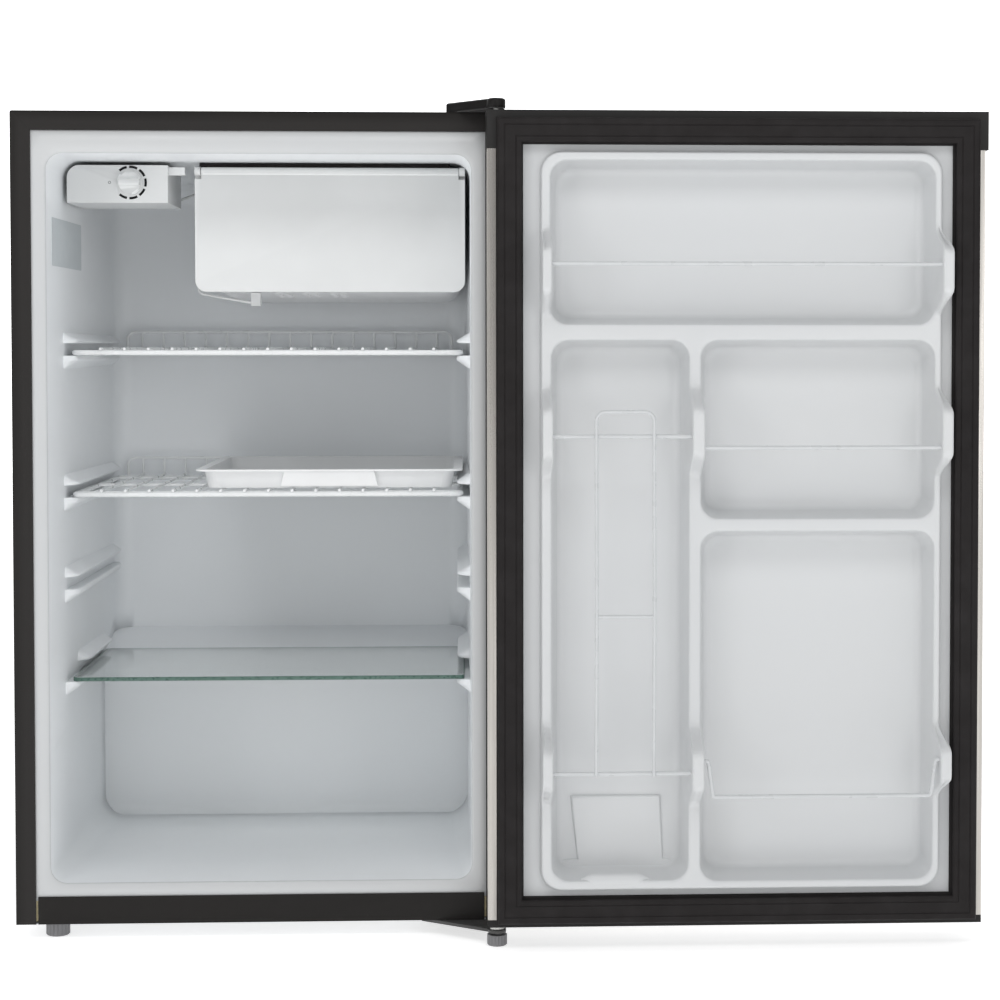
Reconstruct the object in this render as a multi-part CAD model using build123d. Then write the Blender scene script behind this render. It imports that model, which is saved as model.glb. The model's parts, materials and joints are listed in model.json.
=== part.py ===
from build123d import *
import os

# A compact refrigerator with a right-hand door, modelled with the door fully open.
# Millimetres, +Z up. The front of the cabinet faces -Y.
# The origin is on the floor under the door's hinge axis, which is the Z axis.

os.makedirs("parts", exist_ok=True)

# ------------------------------------------------------------------ cabinet outside
WIDTH = 493.0
DEPTH = 460.0
CABINET_BOTTOM = 16.0
CABINET_TOP = 833.0
SHEET = 1.2                     # painted steel
HINGE_TO_SIDE = 9.5             # hinge axis to the cabinet's right side
HINGE_TO_FRONT = 36.0           # hinge axis to the cabinet's front plane

RIGHT = HINGE_TO_SIDE
LEFT = RIGHT - WIDTH
MIDDLE = (LEFT + RIGHT) / 2
FRONT = HINGE_TO_FRONT
BACK = FRONT + DEPTH
INSIDE_HALF = WIDTH / 2 - SHEET

FLANGE_SIDE = 20.0              # front flange of the wrap, at the sides
FLANGE_TOP = 19.5
BASE_TOP = CABINET_BOTTOM + 1.5
RAIL_TOP = 44.0                 # front bottom rail
RAIL_GAP = 2.0

# ------------------------------------------------------------------ food compartment
LINER = 1.6
LINER_FRONT = FRONT + SHEET + 0.1
CAVITY_HALF_FRONT = 212.0
CAVITY_HALF_BACK = 207.0
CAVITY_BOTTOM = 57.0
CAVITY_TOP = 791.0
CAVITY_DEPTH = 415.0
CAVITY_DRAFT = 5.0              # floor and ceiling close in by this at the back
CAVITY_CORNER = 16.0
CAVITY_BACK = FRONT + CAVITY_DEPTH
HUMP_FRONT = FRONT + 328.0      # the step over the compressor
HUMP_TOP_FRONT = 249.0
HUMP_TOP_BACK = 266.0
HUMP_ROUND = 12.0

# ------------------------------------------------------------------ shelves
RIB_INNER_HALF = 197.0
RIB_START = FRONT + 90.0
RIB_END = FRONT + 400.0
RIB_SLOT = 13.0
UPPER_RIB = 11.0
LOWER_RIB = 14.0
UPPER_SHELF = 597.0             # height of each shelf's surface
LOWER_SHELF = 449.0
SPARE_LEVEL = 353.0
GLASS_LEVEL = 252.0
SHELF_HALF = 204.0
SHELF_FRONT = FRONT + 92.0
SHELF_BACK = FRONT + 404.0
RAIL_R = 2.75
WIRE_R = 1.5
CROSS_R = 1.9
WELD = 0.4                      # how far crossing wires sink into each other
WIRES = 15
WIRE_PITCH = 24.7
FENCE = 19.5
FENCE_HALF = 190.0
GLASS = 4.0
GLASS_HALF = 204.5
GLASS_FRONT = FRONT + 95.0
GLASS_BACK = FRONT + 325.0

# ------------------------------------------------------------------ compressor niche
NICHE_FRONT = FRONT + 354.0
NICHE_TOP = 218.0
NICHE_SHEET = 1.0
COMPRESSOR_X = MIDDLE - 70.0
COMPRESSOR_Y = (NICHE_FRONT + BACK) / 2
COMPRESSOR_LONG = 156.0
COMPRESSOR_WIDE = 92.0
COMPRESSOR_BASE = 36.0
COMPRESSOR_TOP = 166.0
BOLT_X = 62.0
BOLT_Y = 35.0
BOLT_R = 3.0
TERMINAL_X0 = COMPRESSOR_X + COMPRESSOR_LONG / 2 - 1.5
TERMINAL_X1 = TERMINAL_X0 + 34.0
GLAND_X = TERMINAL_X0 + 20.0
GLAND_Z = COMPRESSOR_BASE + 42.0
GLAND_R = 6.0
DRIER_X = MIDDLE + 96.0
DRIER_Y = COMPRESSOR_Y - 26.0
DRIER_R = 9.5
DRIER_LOW = 84.0
DRIER_HIGH = 168.0

# ------------------------------------------------------------------ freezer
FREEZER_LEFT = MIDDLE - 75.0
FREEZER_RIGHT = MIDDLE + 206.0
FREEZER_BOTTOM = 655.0
FREEZER_TOP = 785.0
FLAP = 5.0
FLAP_AXIS_Y = FRONT + 97.5
FLAP_AXIS_Z = 780.5
FLAP_BARREL_R = 4.0
FLAP_PIN_R = 2.0
FRAME_FRONT = FRONT + 102.5
FRAME_BACK = FRONT + 112.0
EVAPORATOR = 1.5
EVAPORATOR_BACK = FRONT + 398.0
EVAPORATOR_TOP = 783.0
EVAPORATOR_DROP = 8.0           # the underside falls this much towards the back

# ------------------------------------------------------------------ thermostat
DIAL_X = MIDDLE - 141.0
DIAL_Z = 768.0
KNOB_R = 13.0
DIAL_SHAFT_R = 3.0
RUNNING = 0.05                  # radial clearance of every running fit
HOUSING_LEFT = MIDDLE - 206.0
HOUSING_RIGHT = MIDDLE - 102.0
HOUSING_BOTTOM = 747.0
HOUSING_TOP = 786.0
HOUSING_FRONT = FRONT + 90.0
HOUSING_BACK = FRONT + 200.0
HOUSING_WALL = 2.0
SENSOR_R = 1.3

# ------------------------------------------------------------------ drip tray
TRAY_LEFT = MIDDLE - 77.0
TRAY_RIGHT = MIDDLE + 203.0
TRAY_TOP = LOWER_SHELF + 20.0
TRAY_FLOOR = LOWER_SHELF + 0.3
TRAY_WALL = 1.8
TRAY_FRONT = FRONT + 100.0
TRAY_BACK = FRONT + 390.0

# ------------------------------------------------------------------ door, in its closed place
DOOR_BOTTOM = 22.5
DOOR_TOP = 830.0
DOOR_FRONT = -30.0
DOOR_INNER = 22.0
DOOR_SHEET = 1.0
DOOR_EDGE_R = 5.0
BOTTOM_CAP_TOP = 30.0
TOP_CAP_BOTTOM = 792.0
CAP_PROUD = 3.0
DOOR_SKIN_HINGE = 9.0           # back flange of the skin at the hinge side
DOOR_SKIN_FREE = 6.5
GASKET_FACE = FRONT - 0.5
GASKET_WIDE = 26.5
GASKET_BOTTOM = 27.5
GASKET_TOP = 822.5
RIM_TOP = DOOR_INNER + 12.0
EAR_TOP = DOOR_INNER + 52.0
RECESS = DOOR_INNER - 26.0
DOOR_LINER = 1.6
DOOR_LINER_BOTTOM = 61.0
DOOR_LINER_TOP = 789.0
DOOR_LINER_HINGE = 52.0         # measured from the door's hinge-side edge
DOOR_LINER_FREE = 448.5
FREE_EAR_OUT = 452.5            # the free side's brackets swell out this far
BAR_R = 2.0
BAR_Y = EAR_TOP - 7.0
BUSH_R = 8.0
HANDLE_X0 = LEFT + 24.0         # finger grip in the top cap
HANDLE_X1 = LEFT + 154.0
HANDLE_Z0 = TOP_CAP_BOTTOM + 5.0
HANDLE_Z1 = DOOR_TOP - 7.0
HANDLE_DEEP = 20.0
MAGNET_Y = DOOR_INNER + 8.8
MAGNET = 2.6
MAGNET_INSET = 8.0

# mouths of the door's compartments: from the hinge edge, then height
TOP_BIN = (62.0, 441.0, 620.0, 780.0)
COLUMN_BIN = (63.0, 198.0, 71.0, 604.0)
MIDDLE_BIN = (210.0, 441.0, 429.0, 604.0)
LOW_BIN = (210.0, 441.0, 70.0, 416.0)
BINS = [TOP_BIN, COLUMN_BIN, MIDDLE_BIN, LOW_BIN]
BIN_DRAFT = 6.0
BIN_CORNER = 14.0

# wire brackets on the door liner: lowest and highest point of each
TOP_EAR = (629.0, 716.0)
MIDDLE_EAR = (469.0, 559.0)
LOW_EAR = (146.0, 227.0)
LOW_FREE_EAR = (152.0, 227.0)

# retaining wires
TOP_BAR_Z = 678.0
MIDDLE_BAR_Z = 500.0
LOW_BAR_END_Z = 195.0
LOW_BAR_Z = 160.0
RACK_NEAR = 105.0               # the can rack's uprights, from the hinge edge
RACK_FAR = 161.0
RACK_R = 1.75
RACK_BOW = 6.0
RACK_FOOT_Z = 183.0
RACK_MIDDLE_Z = 337.0
RACK_CROSS_Z = 511.0
RACK_TOP_Z = 535.0

# ------------------------------------------------------------------ hinges and feet
PIN_R = 3.0
TOP_PLATE = 2.5
COVER_TOP = 843.0
BOTTOM_PLATE = 3.2
LOWER_PIN_R = 5.0
FOOT_STUD_R = 3.2
FOOT_R = 12.0
HINGE_FOOT_R = 10.0
FOOT_X = 209.0                  # feet, each side of the middle
FRONT_FOOT_Y = FRONT + 25.0
REAR_FOOT_Y = FRONT + 430.0
M5 = 2.5                        # radius of the small screws and their holes
SCREW_LONG = 14.0
TOP_SCREWS = [(-38.0, FRONT + 22.0), (-10.0, FRONT + 40.0), (-38.0, FRONT + 46.0)]
BOTTOM_SCREWS = [(-66.0, FRONT + 34.0), (-36.0, FRONT + 34.0), (-12.0, FRONT + 44.0)]


# ================================================================== shared shapes
def block(x0, x1, y0, y1, z0, z1):
    """A box between two corners."""
    centre = Pos((x0 + x1) / 2, (y0 + y1) / 2, (z0 + z1) / 2)
    return centre * Box(x1 - x0, y1 - y0, z1 - z0)


def upright(x, y, z0, z1, radius):
    """A cylinder along Z."""
    return Pos(x, y, (z0 + z1) / 2) * Cylinder(radius, z1 - z0)


def along_y(x, z, y0, y1, radius):
    """A cylinder along Y."""
    return Pos(x, (y0 + y1) / 2, z) * Rot(90, 0, 0) * Cylinder(radius, y1 - y0)


def along_x(y, z, x0, x1, radius):
    """A cylinder along X."""
    return Pos((x0 + x1) / 2, y, z) * Rot(0, 90, 0) * Cylinder(radius, x1 - x0)


def rounded_face(x0, x1, z0, z1, radius, y):
    """A rounded rectangle that faces along Y."""
    plane = Plane(origin=((x0 + x1) / 2, y, (z0 + z1) / 2), x_dir=(1, 0, 0), z_dir=(0, 1, 0))
    return plane * RectangleRounded(x1 - x0, z1 - z0, radius)


def slab(x0, x1, z0, z1, radius, y0, y1):
    """A plate with rounded corners, standing in the XZ plane."""
    return extrude(rounded_face(x0, x1, z0, z1, radius, y0), amount=y1 - y0)


def side_profile(points, x0, x1):
    """A (y, z) outline run along X."""
    face = make_face(Polyline(*points, close=True))
    return extrude(Plane.YZ.offset(x0) * face, amount=x1 - x0)


def front_profile(points, y0, y1):
    """An (x, z) outline run along Y."""
    face = make_face(Polyline(*points, close=True))
    return extrude(Plane.XZ.offset(-y0) * face, amount=y0 - y1)


def plan_profile(points, z0, z1):
    """An (x, y) outline run along Z."""
    face = make_face(Polyline(*points, close=True))
    return extrude(Plane.XY.offset(z0) * face, amount=z1 - z0)


def bent_wire(points, bend, radius):
    """A round wire along straight runs joined by bends."""
    path = FilletPolyline(*points, radius=bend)
    section = Plane(origin=path @ 0, z_dir=path % 0) * Circle(radius)
    return sweep(section, path=path)


def wire_loop(x0, x1, y0, y1, z, bend, radius):
    """A round wire bent into a level rectangle with rounded corners."""
    plane = Plane(origin=((x0 + x1) / 2, (y0 + y1) / 2, z))
    path = (plane * RectangleRounded(x1 - x0, y1 - y0, bend)).wire()
    section = Plane(origin=path @ 0, z_dir=path % 0) * Circle(radius)
    return sweep(section, path=path)


def open_door(shape):
    """Swing a piece from the closed door's place to the open door's."""
    return shape.rotate(Axis.Z, 180)


def save(name, shape):
    export_step(shape, f"parts/{name}.step")


# ================================================================== cabinet shell
def outer_wrap():
    """Sides and top folded from one sheet, with a front flange all round."""
    x0, x1 = MIDDLE - INSIDE_HALF, MIDDLE + INSIDE_HALF
    outside = block(LEFT, RIGHT, FRONT, BACK, CABINET_BOTTOM, CABINET_TOP)
    inside = block(x0, x1, FRONT + SHEET, BACK + 1, CABINET_BOTTOM - 1, CABINET_TOP - SHEET)
    mouth = block(
        LEFT + FLANGE_SIDE,
        RIGHT - FLANGE_SIDE,
        FRONT - 1,
        FRONT + 2 * SHEET,
        CABINET_BOTTOM - 1,
        CABINET_TOP - FLANGE_TOP,
    )
    wrap = outside - inside - mouth
    edges = wrap.edges().filter_by(Axis.Y).group_by(Axis.Z)[-1]
    wrap = fillet(edges, 2.0)
    for x, y in TOP_SCREWS:
        wrap -= upright(x, y, CABINET_TOP - 5, CABINET_TOP + 5, M5)
    return wrap


def front_bottom_rail():
    """Black strip under the door opening, folded back over the base."""
    half = WIDTH / 2 - FLANGE_SIDE - RAIL_GAP
    face = block(MIDDLE - half, MIDDLE + half, FRONT, FRONT + SHEET, CABINET_BOTTOM, RAIL_TOP)
    foot = block(MIDDLE - half, MIDDLE + half, FRONT, FRONT + 22, BASE_TOP, BASE_TOP + SHEET)
    return face + foot - front_foot_hole(3)


def front_foot_hole(extra):
    """Room for the left front foot's threaded stud."""
    x = MIDDLE - FOOT_X
    return upright(x, FRONT_FOOT_Y, 0, BASE_TOP + 20, FOOT_STUD_R + extra)


def base_plate():
    """Steel floor of the cabinet, with holes for feet, hinge and compressor."""
    x0, x1 = MIDDLE - INSIDE_HALF, MIDDLE + INSIDE_HALF
    plate = block(x0, x1, FRONT + SHEET, BACK - SHEET, CABINET_BOTTOM, BASE_TOP)
    collar_x = MIDDLE - FOOT_X
    collar = upright(collar_x, FRONT_FOOT_Y, BASE_TOP, BASE_TOP + 8, FOOT_STUD_R + 3)
    rear_lip = block(x0, x1, BACK - 2 * SHEET, BACK - SHEET, BASE_TOP, BASE_TOP + 10)
    plate = plate + collar + rear_lip
    plate -= front_foot_hole(RUNNING)
    for x, y in BOTTOM_SCREWS:
        plate -= upright(x, y, 0, 60, M5)
    for x, y in compressor_bolt_places():
        plate -= upright(x, y, 0, 60, BOLT_R)
    for x, y in rear_foot_places():
        plate -= upright(x, y, 0, 60, M5)
    return plate


def niche_panel():
    """Bent sheet that closes the foam above and in front of the compressor."""
    x0, x1 = MIDDLE - INSIDE_HALF, MIDDLE + INSIDE_HALF
    points = [
        (NICHE_FRONT - NICHE_SHEET, BASE_TOP),
        (NICHE_FRONT - NICHE_SHEET, NICHE_TOP + NICHE_SHEET),
        (BACK - SHEET, NICHE_TOP + NICHE_SHEET),
        (BACK - SHEET, NICHE_TOP),
        (NICHE_FRONT, NICHE_TOP),
        (NICHE_FRONT, BASE_TOP),
    ]
    return side_profile(points, x0, x1)


def rear_panel():
    """Flat back sheet with upright pressed beads."""
    x0, x1 = MIDDLE - INSIDE_HALF, MIDDLE + INSIDE_HALF
    z0, z1 = NICHE_TOP, CABINET_TOP - SHEET
    panel = block(x0, x1, BACK - SHEET, BACK, z0, z1)
    bead_r = 9.0
    proud = 1.6
    keep = block(x0, x1, BACK - SHEET / 2, BACK + proud, z0, z1)
    beads = []
    for step in range(-2, 3):
        x = MIDDLE + 86.0 * step
        bead = upright(x, BACK + proud - bead_r, z0 + 45, z1 - 45, bead_r)
        beads.append(bead & keep)
    return panel + beads


# ================================================================== inner liner
def cavity(grow):
    """The food compartment's hollow, larger all round by grow."""
    front = rounded_face(
        MIDDLE - CAVITY_HALF_FRONT - grow,
        MIDDLE + CAVITY_HALF_FRONT + grow,
        CAVITY_BOTTOM - grow,
        CAVITY_TOP + grow,
        CAVITY_CORNER + grow,
        LINER_FRONT,
    )
    back = rounded_face(
        MIDDLE - CAVITY_HALF_BACK - grow,
        MIDDLE + CAVITY_HALF_BACK + grow,
        CAVITY_BOTTOM + CAVITY_DRAFT - grow,
        CAVITY_TOP - CAVITY_DRAFT + grow,
        CAVITY_CORNER + grow,
        CAVITY_BACK + grow,
    )
    hollow = loft([front, back])
    hump_points = [
        (HUMP_FRONT + grow, 0),
        (HUMP_FRONT + grow, HUMP_TOP_FRONT - grow),
        (CAVITY_BACK + 40, HUMP_TOP_BACK + 8 - grow),
        (CAVITY_BACK + 40, 0),
    ]
    hump = side_profile(hump_points, LEFT, RIGHT)
    nose = hump.edges().filter_by(Axis.X).group_by(Axis.Y)[0].sort_by(Axis.Z)[-1]
    hump = fillet(nose, HUMP_ROUND - grow)
    return hollow - hump


def rib_outline(wall_x, inner_x, ledge, upper):
    """The outline of one shelf rib. The shelf slides in the slot above the ledge."""
    slope_x = wall_x + (inner_x - wall_x) * 0.25
    if upper:
        low = ledge + RIB_SLOT
        return [
            (wall_x, low),
            (inner_x, low),
            (inner_x, low + 2),
            (slope_x, low + UPPER_RIB),
            (wall_x, low + UPPER_RIB),
        ]
    return [
        (wall_x, ledge),
        (inner_x, ledge),
        (inner_x, ledge - 4),
        (slope_x, ledge - LOWER_RIB),
        (wall_x, ledge - LOWER_RIB),
    ]


def rib_pair(ledge, upper_start, end):
    """The four ribs that carry one shelf level: upper and lower, left and right."""
    ribs = []
    for side in (-1, 1):
        wall_x = MIDDLE + side * (CAVITY_HALF_FRONT + LINER / 2)
        inner_x = MIDDLE + side * RIB_INNER_HALF
        for upper in (True, False):
            start = upper_start if upper else RIB_START
            ribs.append(front_profile(rib_outline(wall_x, inner_x, ledge, upper), start, end))
    return ribs


def wire_ledge(surface):
    """Top of the rib under a wire shelf whose surface is at the given height."""
    return surface - 2 * WIRE_R - 2 * RAIL_R + WELD - 0.2


def inner_liner():
    """White formed liner: flange, food compartment and shelf ribs."""
    outer = cavity(LINER)
    hollow = cavity(0)
    flange = slab(
        LEFT + FLANGE_SIDE - 5,
        RIGHT - FLANGE_SIDE + 5,
        RAIL_TOP - 4,
        CABINET_TOP - FLANGE_TOP + 5,
        3,
        LINER_FRONT,
        LINER_FRONT + LINER,
    )
    ribs = []
    for surface in (UPPER_SHELF, LOWER_SHELF, SPARE_LEVEL):
        ribs += rib_pair(wire_ledge(surface), RIB_START, RIB_END)
    ribs += rib_pair(GLASS_LEVEL - GLASS - 0.2, RIB_START + 70, HUMP_FRONT + LINER)
    ribs = Part() + ribs
    return outer + flange - hollow + (ribs & outer)


# ================================================================== foam and hidden circuit
def condenser_side(side):
    """One serpentine of warm tube, held against a side wall inside the foam."""
    x = MIDDLE + side * (INSIDE_HALF - 2.6)
    low, high = 110.0, 770.0
    points = []
    for number in range(5):
        y = FRONT + 90 + 62.0 * number
        ends = (low, high) if number % 2 == 0 else (high, low)
        points += [(x, y, ends[0]), (x, y, ends[1])]
    return bent_wire(points, 28.0, 2.4)


def condenser_coil():
    return Part() + [condenser_side(-1), condenser_side(1)]


def hinge_backing_plates():
    """Steel plates in the foam that the hinge screws bite into."""
    top = block(-52, 4, FRONT + 8, FRONT + 58, CABINET_TOP - SHEET - 3, CABINET_TOP - SHEET)
    bottom = block(-78, 4, FRONT + 24, FRONT + 60, BASE_TOP, BASE_TOP + 3)
    for x, y in TOP_SCREWS:
        top -= upright(x, y, CABINET_TOP - 10, CABINET_TOP, M5)
    for x, y in BOTTOM_SCREWS:
        bottom -= upright(x, y, 10, 40, M5)
    return Part() + [top, bottom]


def cabinet_foam(backing, coil):
    """Insulation between the wrap and the liner."""
    x0, x1 = MIDDLE - INSIDE_HALF, MIDDLE + INSIDE_HALF
    y0, y1 = LINER_FRONT + LINER, BACK - SHEET
    foam = block(x0, x1, y0, y1, BASE_TOP, CABINET_TOP - SHEET)
    foam -= cavity(LINER)
    foam -= block(x0, x1, NICHE_FRONT - NICHE_SHEET, y1, BASE_TOP, NICHE_TOP + NICHE_SHEET)
    foam -= block(LEFT, RIGHT, FRONT, FRONT + 22, BASE_TOP, BASE_TOP + SHEET)
    foam -= upright(MIDDLE - FOOT_X, FRONT_FOOT_Y, 0, BASE_TOP + 21, FOOT_STUD_R + 3.5)
    foam -= backing
    foam -= coil
    for x, y in TOP_SCREWS:
        foam -= upright(x, y, CABINET_TOP - SCREW_LONG - 2, CABINET_TOP, M5)
    for x, y in BOTTOM_SCREWS:
        foam -= upright(x, y, 0, BASE_TOP + SCREW_LONG, M5)
    foam -= sensor_passage()
    return foam


# ================================================================== compressor niche
def compressor_bolt_places():
    places = []
    for sx in (-1, 1):
        for sy in (-1, 1):
            places.append((COMPRESSOR_X + sx * BOLT_X, COMPRESSOR_Y + sy * BOLT_Y))
    return places


def oval(x, y, long, wide, z0, z1):
    face = Pos(x, y, z0) * SlotOverall(long, wide)
    return extrude(face, amount=z1 - z0)


def compressor():
    """Sealed steel pot in two halves, on a pressed foot plate."""
    shell = oval(COMPRESSOR_X, COMPRESSOR_Y, COMPRESSOR_LONG - 10, COMPRESSOR_WIDE - 10,
                 COMPRESSOR_BASE, COMPRESSOR_TOP)
    shell = fillet(shell.edges().group_by(Axis.Z)[-1], 26)
    shell = fillet(shell.edges().group_by(Axis.Z)[0], 12)
    seam_z = (COMPRESSOR_BASE + COMPRESSOR_TOP) / 2 + 8
    seam = oval(COMPRESSOR_X, COMPRESSOR_Y, COMPRESSOR_LONG - 4, COMPRESSOR_WIDE - 4,
                seam_z - 2.5, seam_z + 2.5)
    plate = oval(COMPRESSOR_X, COMPRESSOR_Y, 2 * BOLT_X + 26, 2 * BOLT_Y + 22,
                 COMPRESSOR_BASE - 3, COMPRESSOR_BASE + 1)
    ears = [upright(x, y, COMPRESSOR_BASE - 3, COMPRESSOR_BASE, 10.5)
            for x, y in compressor_bolt_places()]
    body = shell + seam + plate + ears
    for x, y in compressor_bolt_places():
        body -= upright(x, y, 0, COMPRESSOR_BASE + 12, BOLT_R + 0.6)
        body -= upright(x, y, COMPRESSOR_BASE, COMPRESSOR_BASE + 12, 8.0)
    return body


def compressor_grommets():
    low, high = BASE_TOP, COMPRESSOR_BASE - 3
    return Part() + [
        upright(x, y, low, high, 9.5) - upright(x, y, low - 1, high + 1, BOLT_R + 0.2)
        for x, y in compressor_bolt_places()
    ]


def compressor_bolts():
    bolts = []
    for x, y in compressor_bolt_places():
        shank = upright(x, y, CABINET_BOTTOM - 2, COMPRESSOR_BASE + 2, BOLT_R)
        head = Pos(x, y, COMPRESSOR_BASE) * extrude(RegularPolygon(5.5, 6), amount=5)
        bolts.append(shank + head)
    return Part() + bolts


def terminal_cover():
    """Plastic box over the compressor's relay and terminals."""
    y0, y1 = COMPRESSOR_Y - 20, COMPRESSOR_Y + 26
    z0, z1 = COMPRESSOR_BASE + 26, COMPRESSOR_BASE + 84
    cover = block(TERMINAL_X0, TERMINAL_X1, y0, y1, z0, z1)
    cover = fillet(cover.edges().filter_by(Axis.Y).group_by(Axis.X)[-1], 6)
    inside = block(TERMINAL_X0 - 1, TERMINAL_X1 - 2, y0 + 2, y1 - 2, z0 + 2, z1 - 2)
    seam = oval(COMPRESSOR_X, COMPRESSOR_Y, COMPRESSOR_LONG - 3, COMPRESSOR_WIDE - 3,
                COMPRESSOR_BASE, COMPRESSOR_TOP)
    hole = along_y(GLAND_X, GLAND_Z, y1 - 5, y1 + 5, GLAND_R)
    return cover - inside - seam - hole


def cord_gland():
    """The bush in the terminal cover that the mains lead passes through."""
    y1 = COMPRESSOR_Y + 26
    neck = along_y(GLAND_X, GLAND_Z, y1 - 4, y1 + 12, GLAND_R)
    collar = along_y(GLAND_X, GLAND_Z, y1, y1 + 4, GLAND_R + 2.5)
    bore = along_y(GLAND_X, GLAND_Z, y1 - 6, y1 + 14, 3.5)
    return neck + collar - bore


def filter_drier():
    """Copper cartridge that dries the refrigerant."""
    barrel = upright(DRIER_X, DRIER_Y, DRIER_LOW, DRIER_HIGH, DRIER_R)
    ends = barrel.edges().filter_by(GeomType.CIRCLE)
    return fillet(ends, 6)


def refrigerant_pipes():
    """Tubes in the niche: delivery, suction, capillary and the service stub."""
    top = NICHE_TOP
    shell_x = COMPRESSOR_X + 30
    right_wall = MIDDLE + INSIDE_HALF
    delivery = bent_wire(
        [
            (shell_x, COMPRESSOR_Y - 12, COMPRESSOR_TOP),
            (shell_x, COMPRESSOR_Y - 12, COMPRESSOR_TOP + 24),
            (DRIER_X + 40, COMPRESSOR_Y - 12, COMPRESSOR_TOP + 24),
            (DRIER_X + 40, COMPRESSOR_Y - 12, 120),
            (right_wall, COMPRESSOR_Y - 12, 120),
        ],
        11,
        3.0,
    )
    suction = bent_wire(
        [
            (COMPRESSOR_X - 30, COMPRESSOR_Y, COMPRESSOR_TOP),
            (COMPRESSOR_X - 30, COMPRESSOR_Y, COMPRESSOR_TOP + 30),
            (COMPRESSOR_X - 62, COMPRESSOR_Y, COMPRESSOR_TOP + 30),
            (COMPRESSOR_X - 62, COMPRESSOR_Y, top),
        ],
        9,
        3.5,
    )
    drier_feed = bent_wire(
        [
            (DRIER_X, DRIER_Y, DRIER_LOW),
            (DRIER_X, DRIER_Y, DRIER_LOW - 22),
            (DRIER_X + 62, DRIER_Y, DRIER_LOW - 22),
            (DRIER_X + 62, DRIER_Y, 100),
            (right_wall, DRIER_Y, 100),
        ],
        9,
        2.4,
    )
    capillary = bent_wire(
        [
            (DRIER_X, DRIER_Y, DRIER_HIGH),
            (DRIER_X, DRIER_Y, DRIER_HIGH + 8),
            (DRIER_X + 16, DRIER_Y, DRIER_HIGH + 8),
            (DRIER_X + 16, DRIER_Y, top),
        ],
        4,
        1.2,
    )
    stub = bent_wire(
        [
            (COMPRESSOR_X - 4, COMPRESSOR_Y + 18, COMPRESSOR_TOP - 3),
            (COMPRESSOR_X - 4, COMPRESSOR_Y + 18, COMPRESSOR_TOP + 14),
            (COMPRESSOR_X - 34, COMPRESSOR_Y + 18, COMPRESSOR_TOP + 14),
        ],
        8,
        3.0,
    )
    pipes = Part() + [delivery, suction, drier_feed, capillary, stub]
    return pipes - compressor() - filter_drier()


# ================================================================== freezer
def tube_face(grow, y, drop):
    """The evaporator's section at one depth, larger by grow."""
    return rounded_face(
        FREEZER_LEFT + 6 - grow,
        FREEZER_RIGHT - 6 + grow,
        FREEZER_BOTTOM + 4 - drop - grow,
        EVAPORATOR_TOP - EVAPORATOR + grow,
        20 + grow,
        y,
    )


def evaporator_box():
    """Aluminium box that is both the freezer compartment and the cold plate."""
    y0, y1 = FRAME_BACK, EVAPORATOR_BACK
    drop = EVAPORATOR_DROP
    shell = loft([tube_face(EVAPORATOR, y0, 0), tube_face(EVAPORATOR, y1, drop)])
    back = y1 - EVAPORATOR
    hollow = loft([tube_face(0, y0, 0), tube_face(0, back, drop)])
    shell -= hollow
    for x, y in evaporator_screw_places():
        shell -= upright(x, y, EVAPORATOR_TOP - 20, EVAPORATOR_TOP + 10, M5)
    return shell


def evaporator_screw_places():
    places = []
    for x in (FREEZER_LEFT + 50, FREEZER_RIGHT - 50):
        for y in (FRONT + 150, FRONT + 350):
            places.append((x, y))
    return places


def ceiling(y):
    """Height of the compartment's ceiling at a depth."""
    slope = CAVITY_DRAFT / (CAVITY_BACK - LINER_FRONT)
    return CAVITY_TOP - slope * (y - LINER_FRONT)


def evaporator_screws():
    """Screws and spacers that hang the evaporator from the ceiling."""
    screws = []
    for x, y in evaporator_screw_places():
        head = upright(x, y, EVAPORATOR_TOP - EVAPORATOR - 3, EVAPORATOR_TOP - EVAPORATOR, 4.5)
        shank = upright(x, y, EVAPORATOR_TOP - EVAPORATOR - 1, ceiling(y) - 0.2, M5)
        screws.append(head + shank)
    return Part() + screws


def evaporator_spacers():
    spacers = []
    for x, y in evaporator_screw_places():
        ring = upright(x, y, EVAPORATOR_TOP, ceiling(y) - 0.2, 7)
        spacers.append(ring - upright(x, y, 700, 800, M5))
    return Part() + spacers


def freezer_front_frame():
    """Plastic frame round the freezer's mouth, with the flap's two bearings."""
    outside = slab(FREEZER_LEFT, FREEZER_RIGHT, FREEZER_BOTTOM, FREEZER_TOP, 12,
                   FRAME_FRONT, FRAME_BACK)
    mouth = slab(FREEZER_LEFT + 14, FREEZER_RIGHT - 14, FREEZER_BOTTOM + 10, FREEZER_TOP - 14,
                 14, FRAME_FRONT - 1, FRAME_BACK + 1)
    lugs = []
    for x in (FREEZER_LEFT + 3, FREEZER_RIGHT - 3):
        lug = along_x(FLAP_AXIS_Y, FLAP_AXIS_Z, x - 3, x + 3, 4.5)
        neck = block(x - 3, x + 3, FLAP_AXIS_Y, FRAME_FRONT + 2, FLAP_AXIS_Z - 4.5, FLAP_AXIS_Z + 4.5)
        lugs.append(lug + neck)
    bore = along_x(FLAP_AXIS_Y, FLAP_AXIS_Z, FREEZER_LEFT - 1, FREEZER_RIGHT + 1,
                   FLAP_PIN_R + RUNNING)
    return outside - mouth + lugs - bore


def freezer_top_seal():
    """Dark foam strip between the freezer frame and the ceiling."""
    return block(FREEZER_LEFT + 4, FREEZER_RIGHT - 16, FRAME_FRONT + 1, FRAME_BACK - 1,
                 FREEZER_TOP, ceiling(FRAME_BACK) - 0.3)


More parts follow.
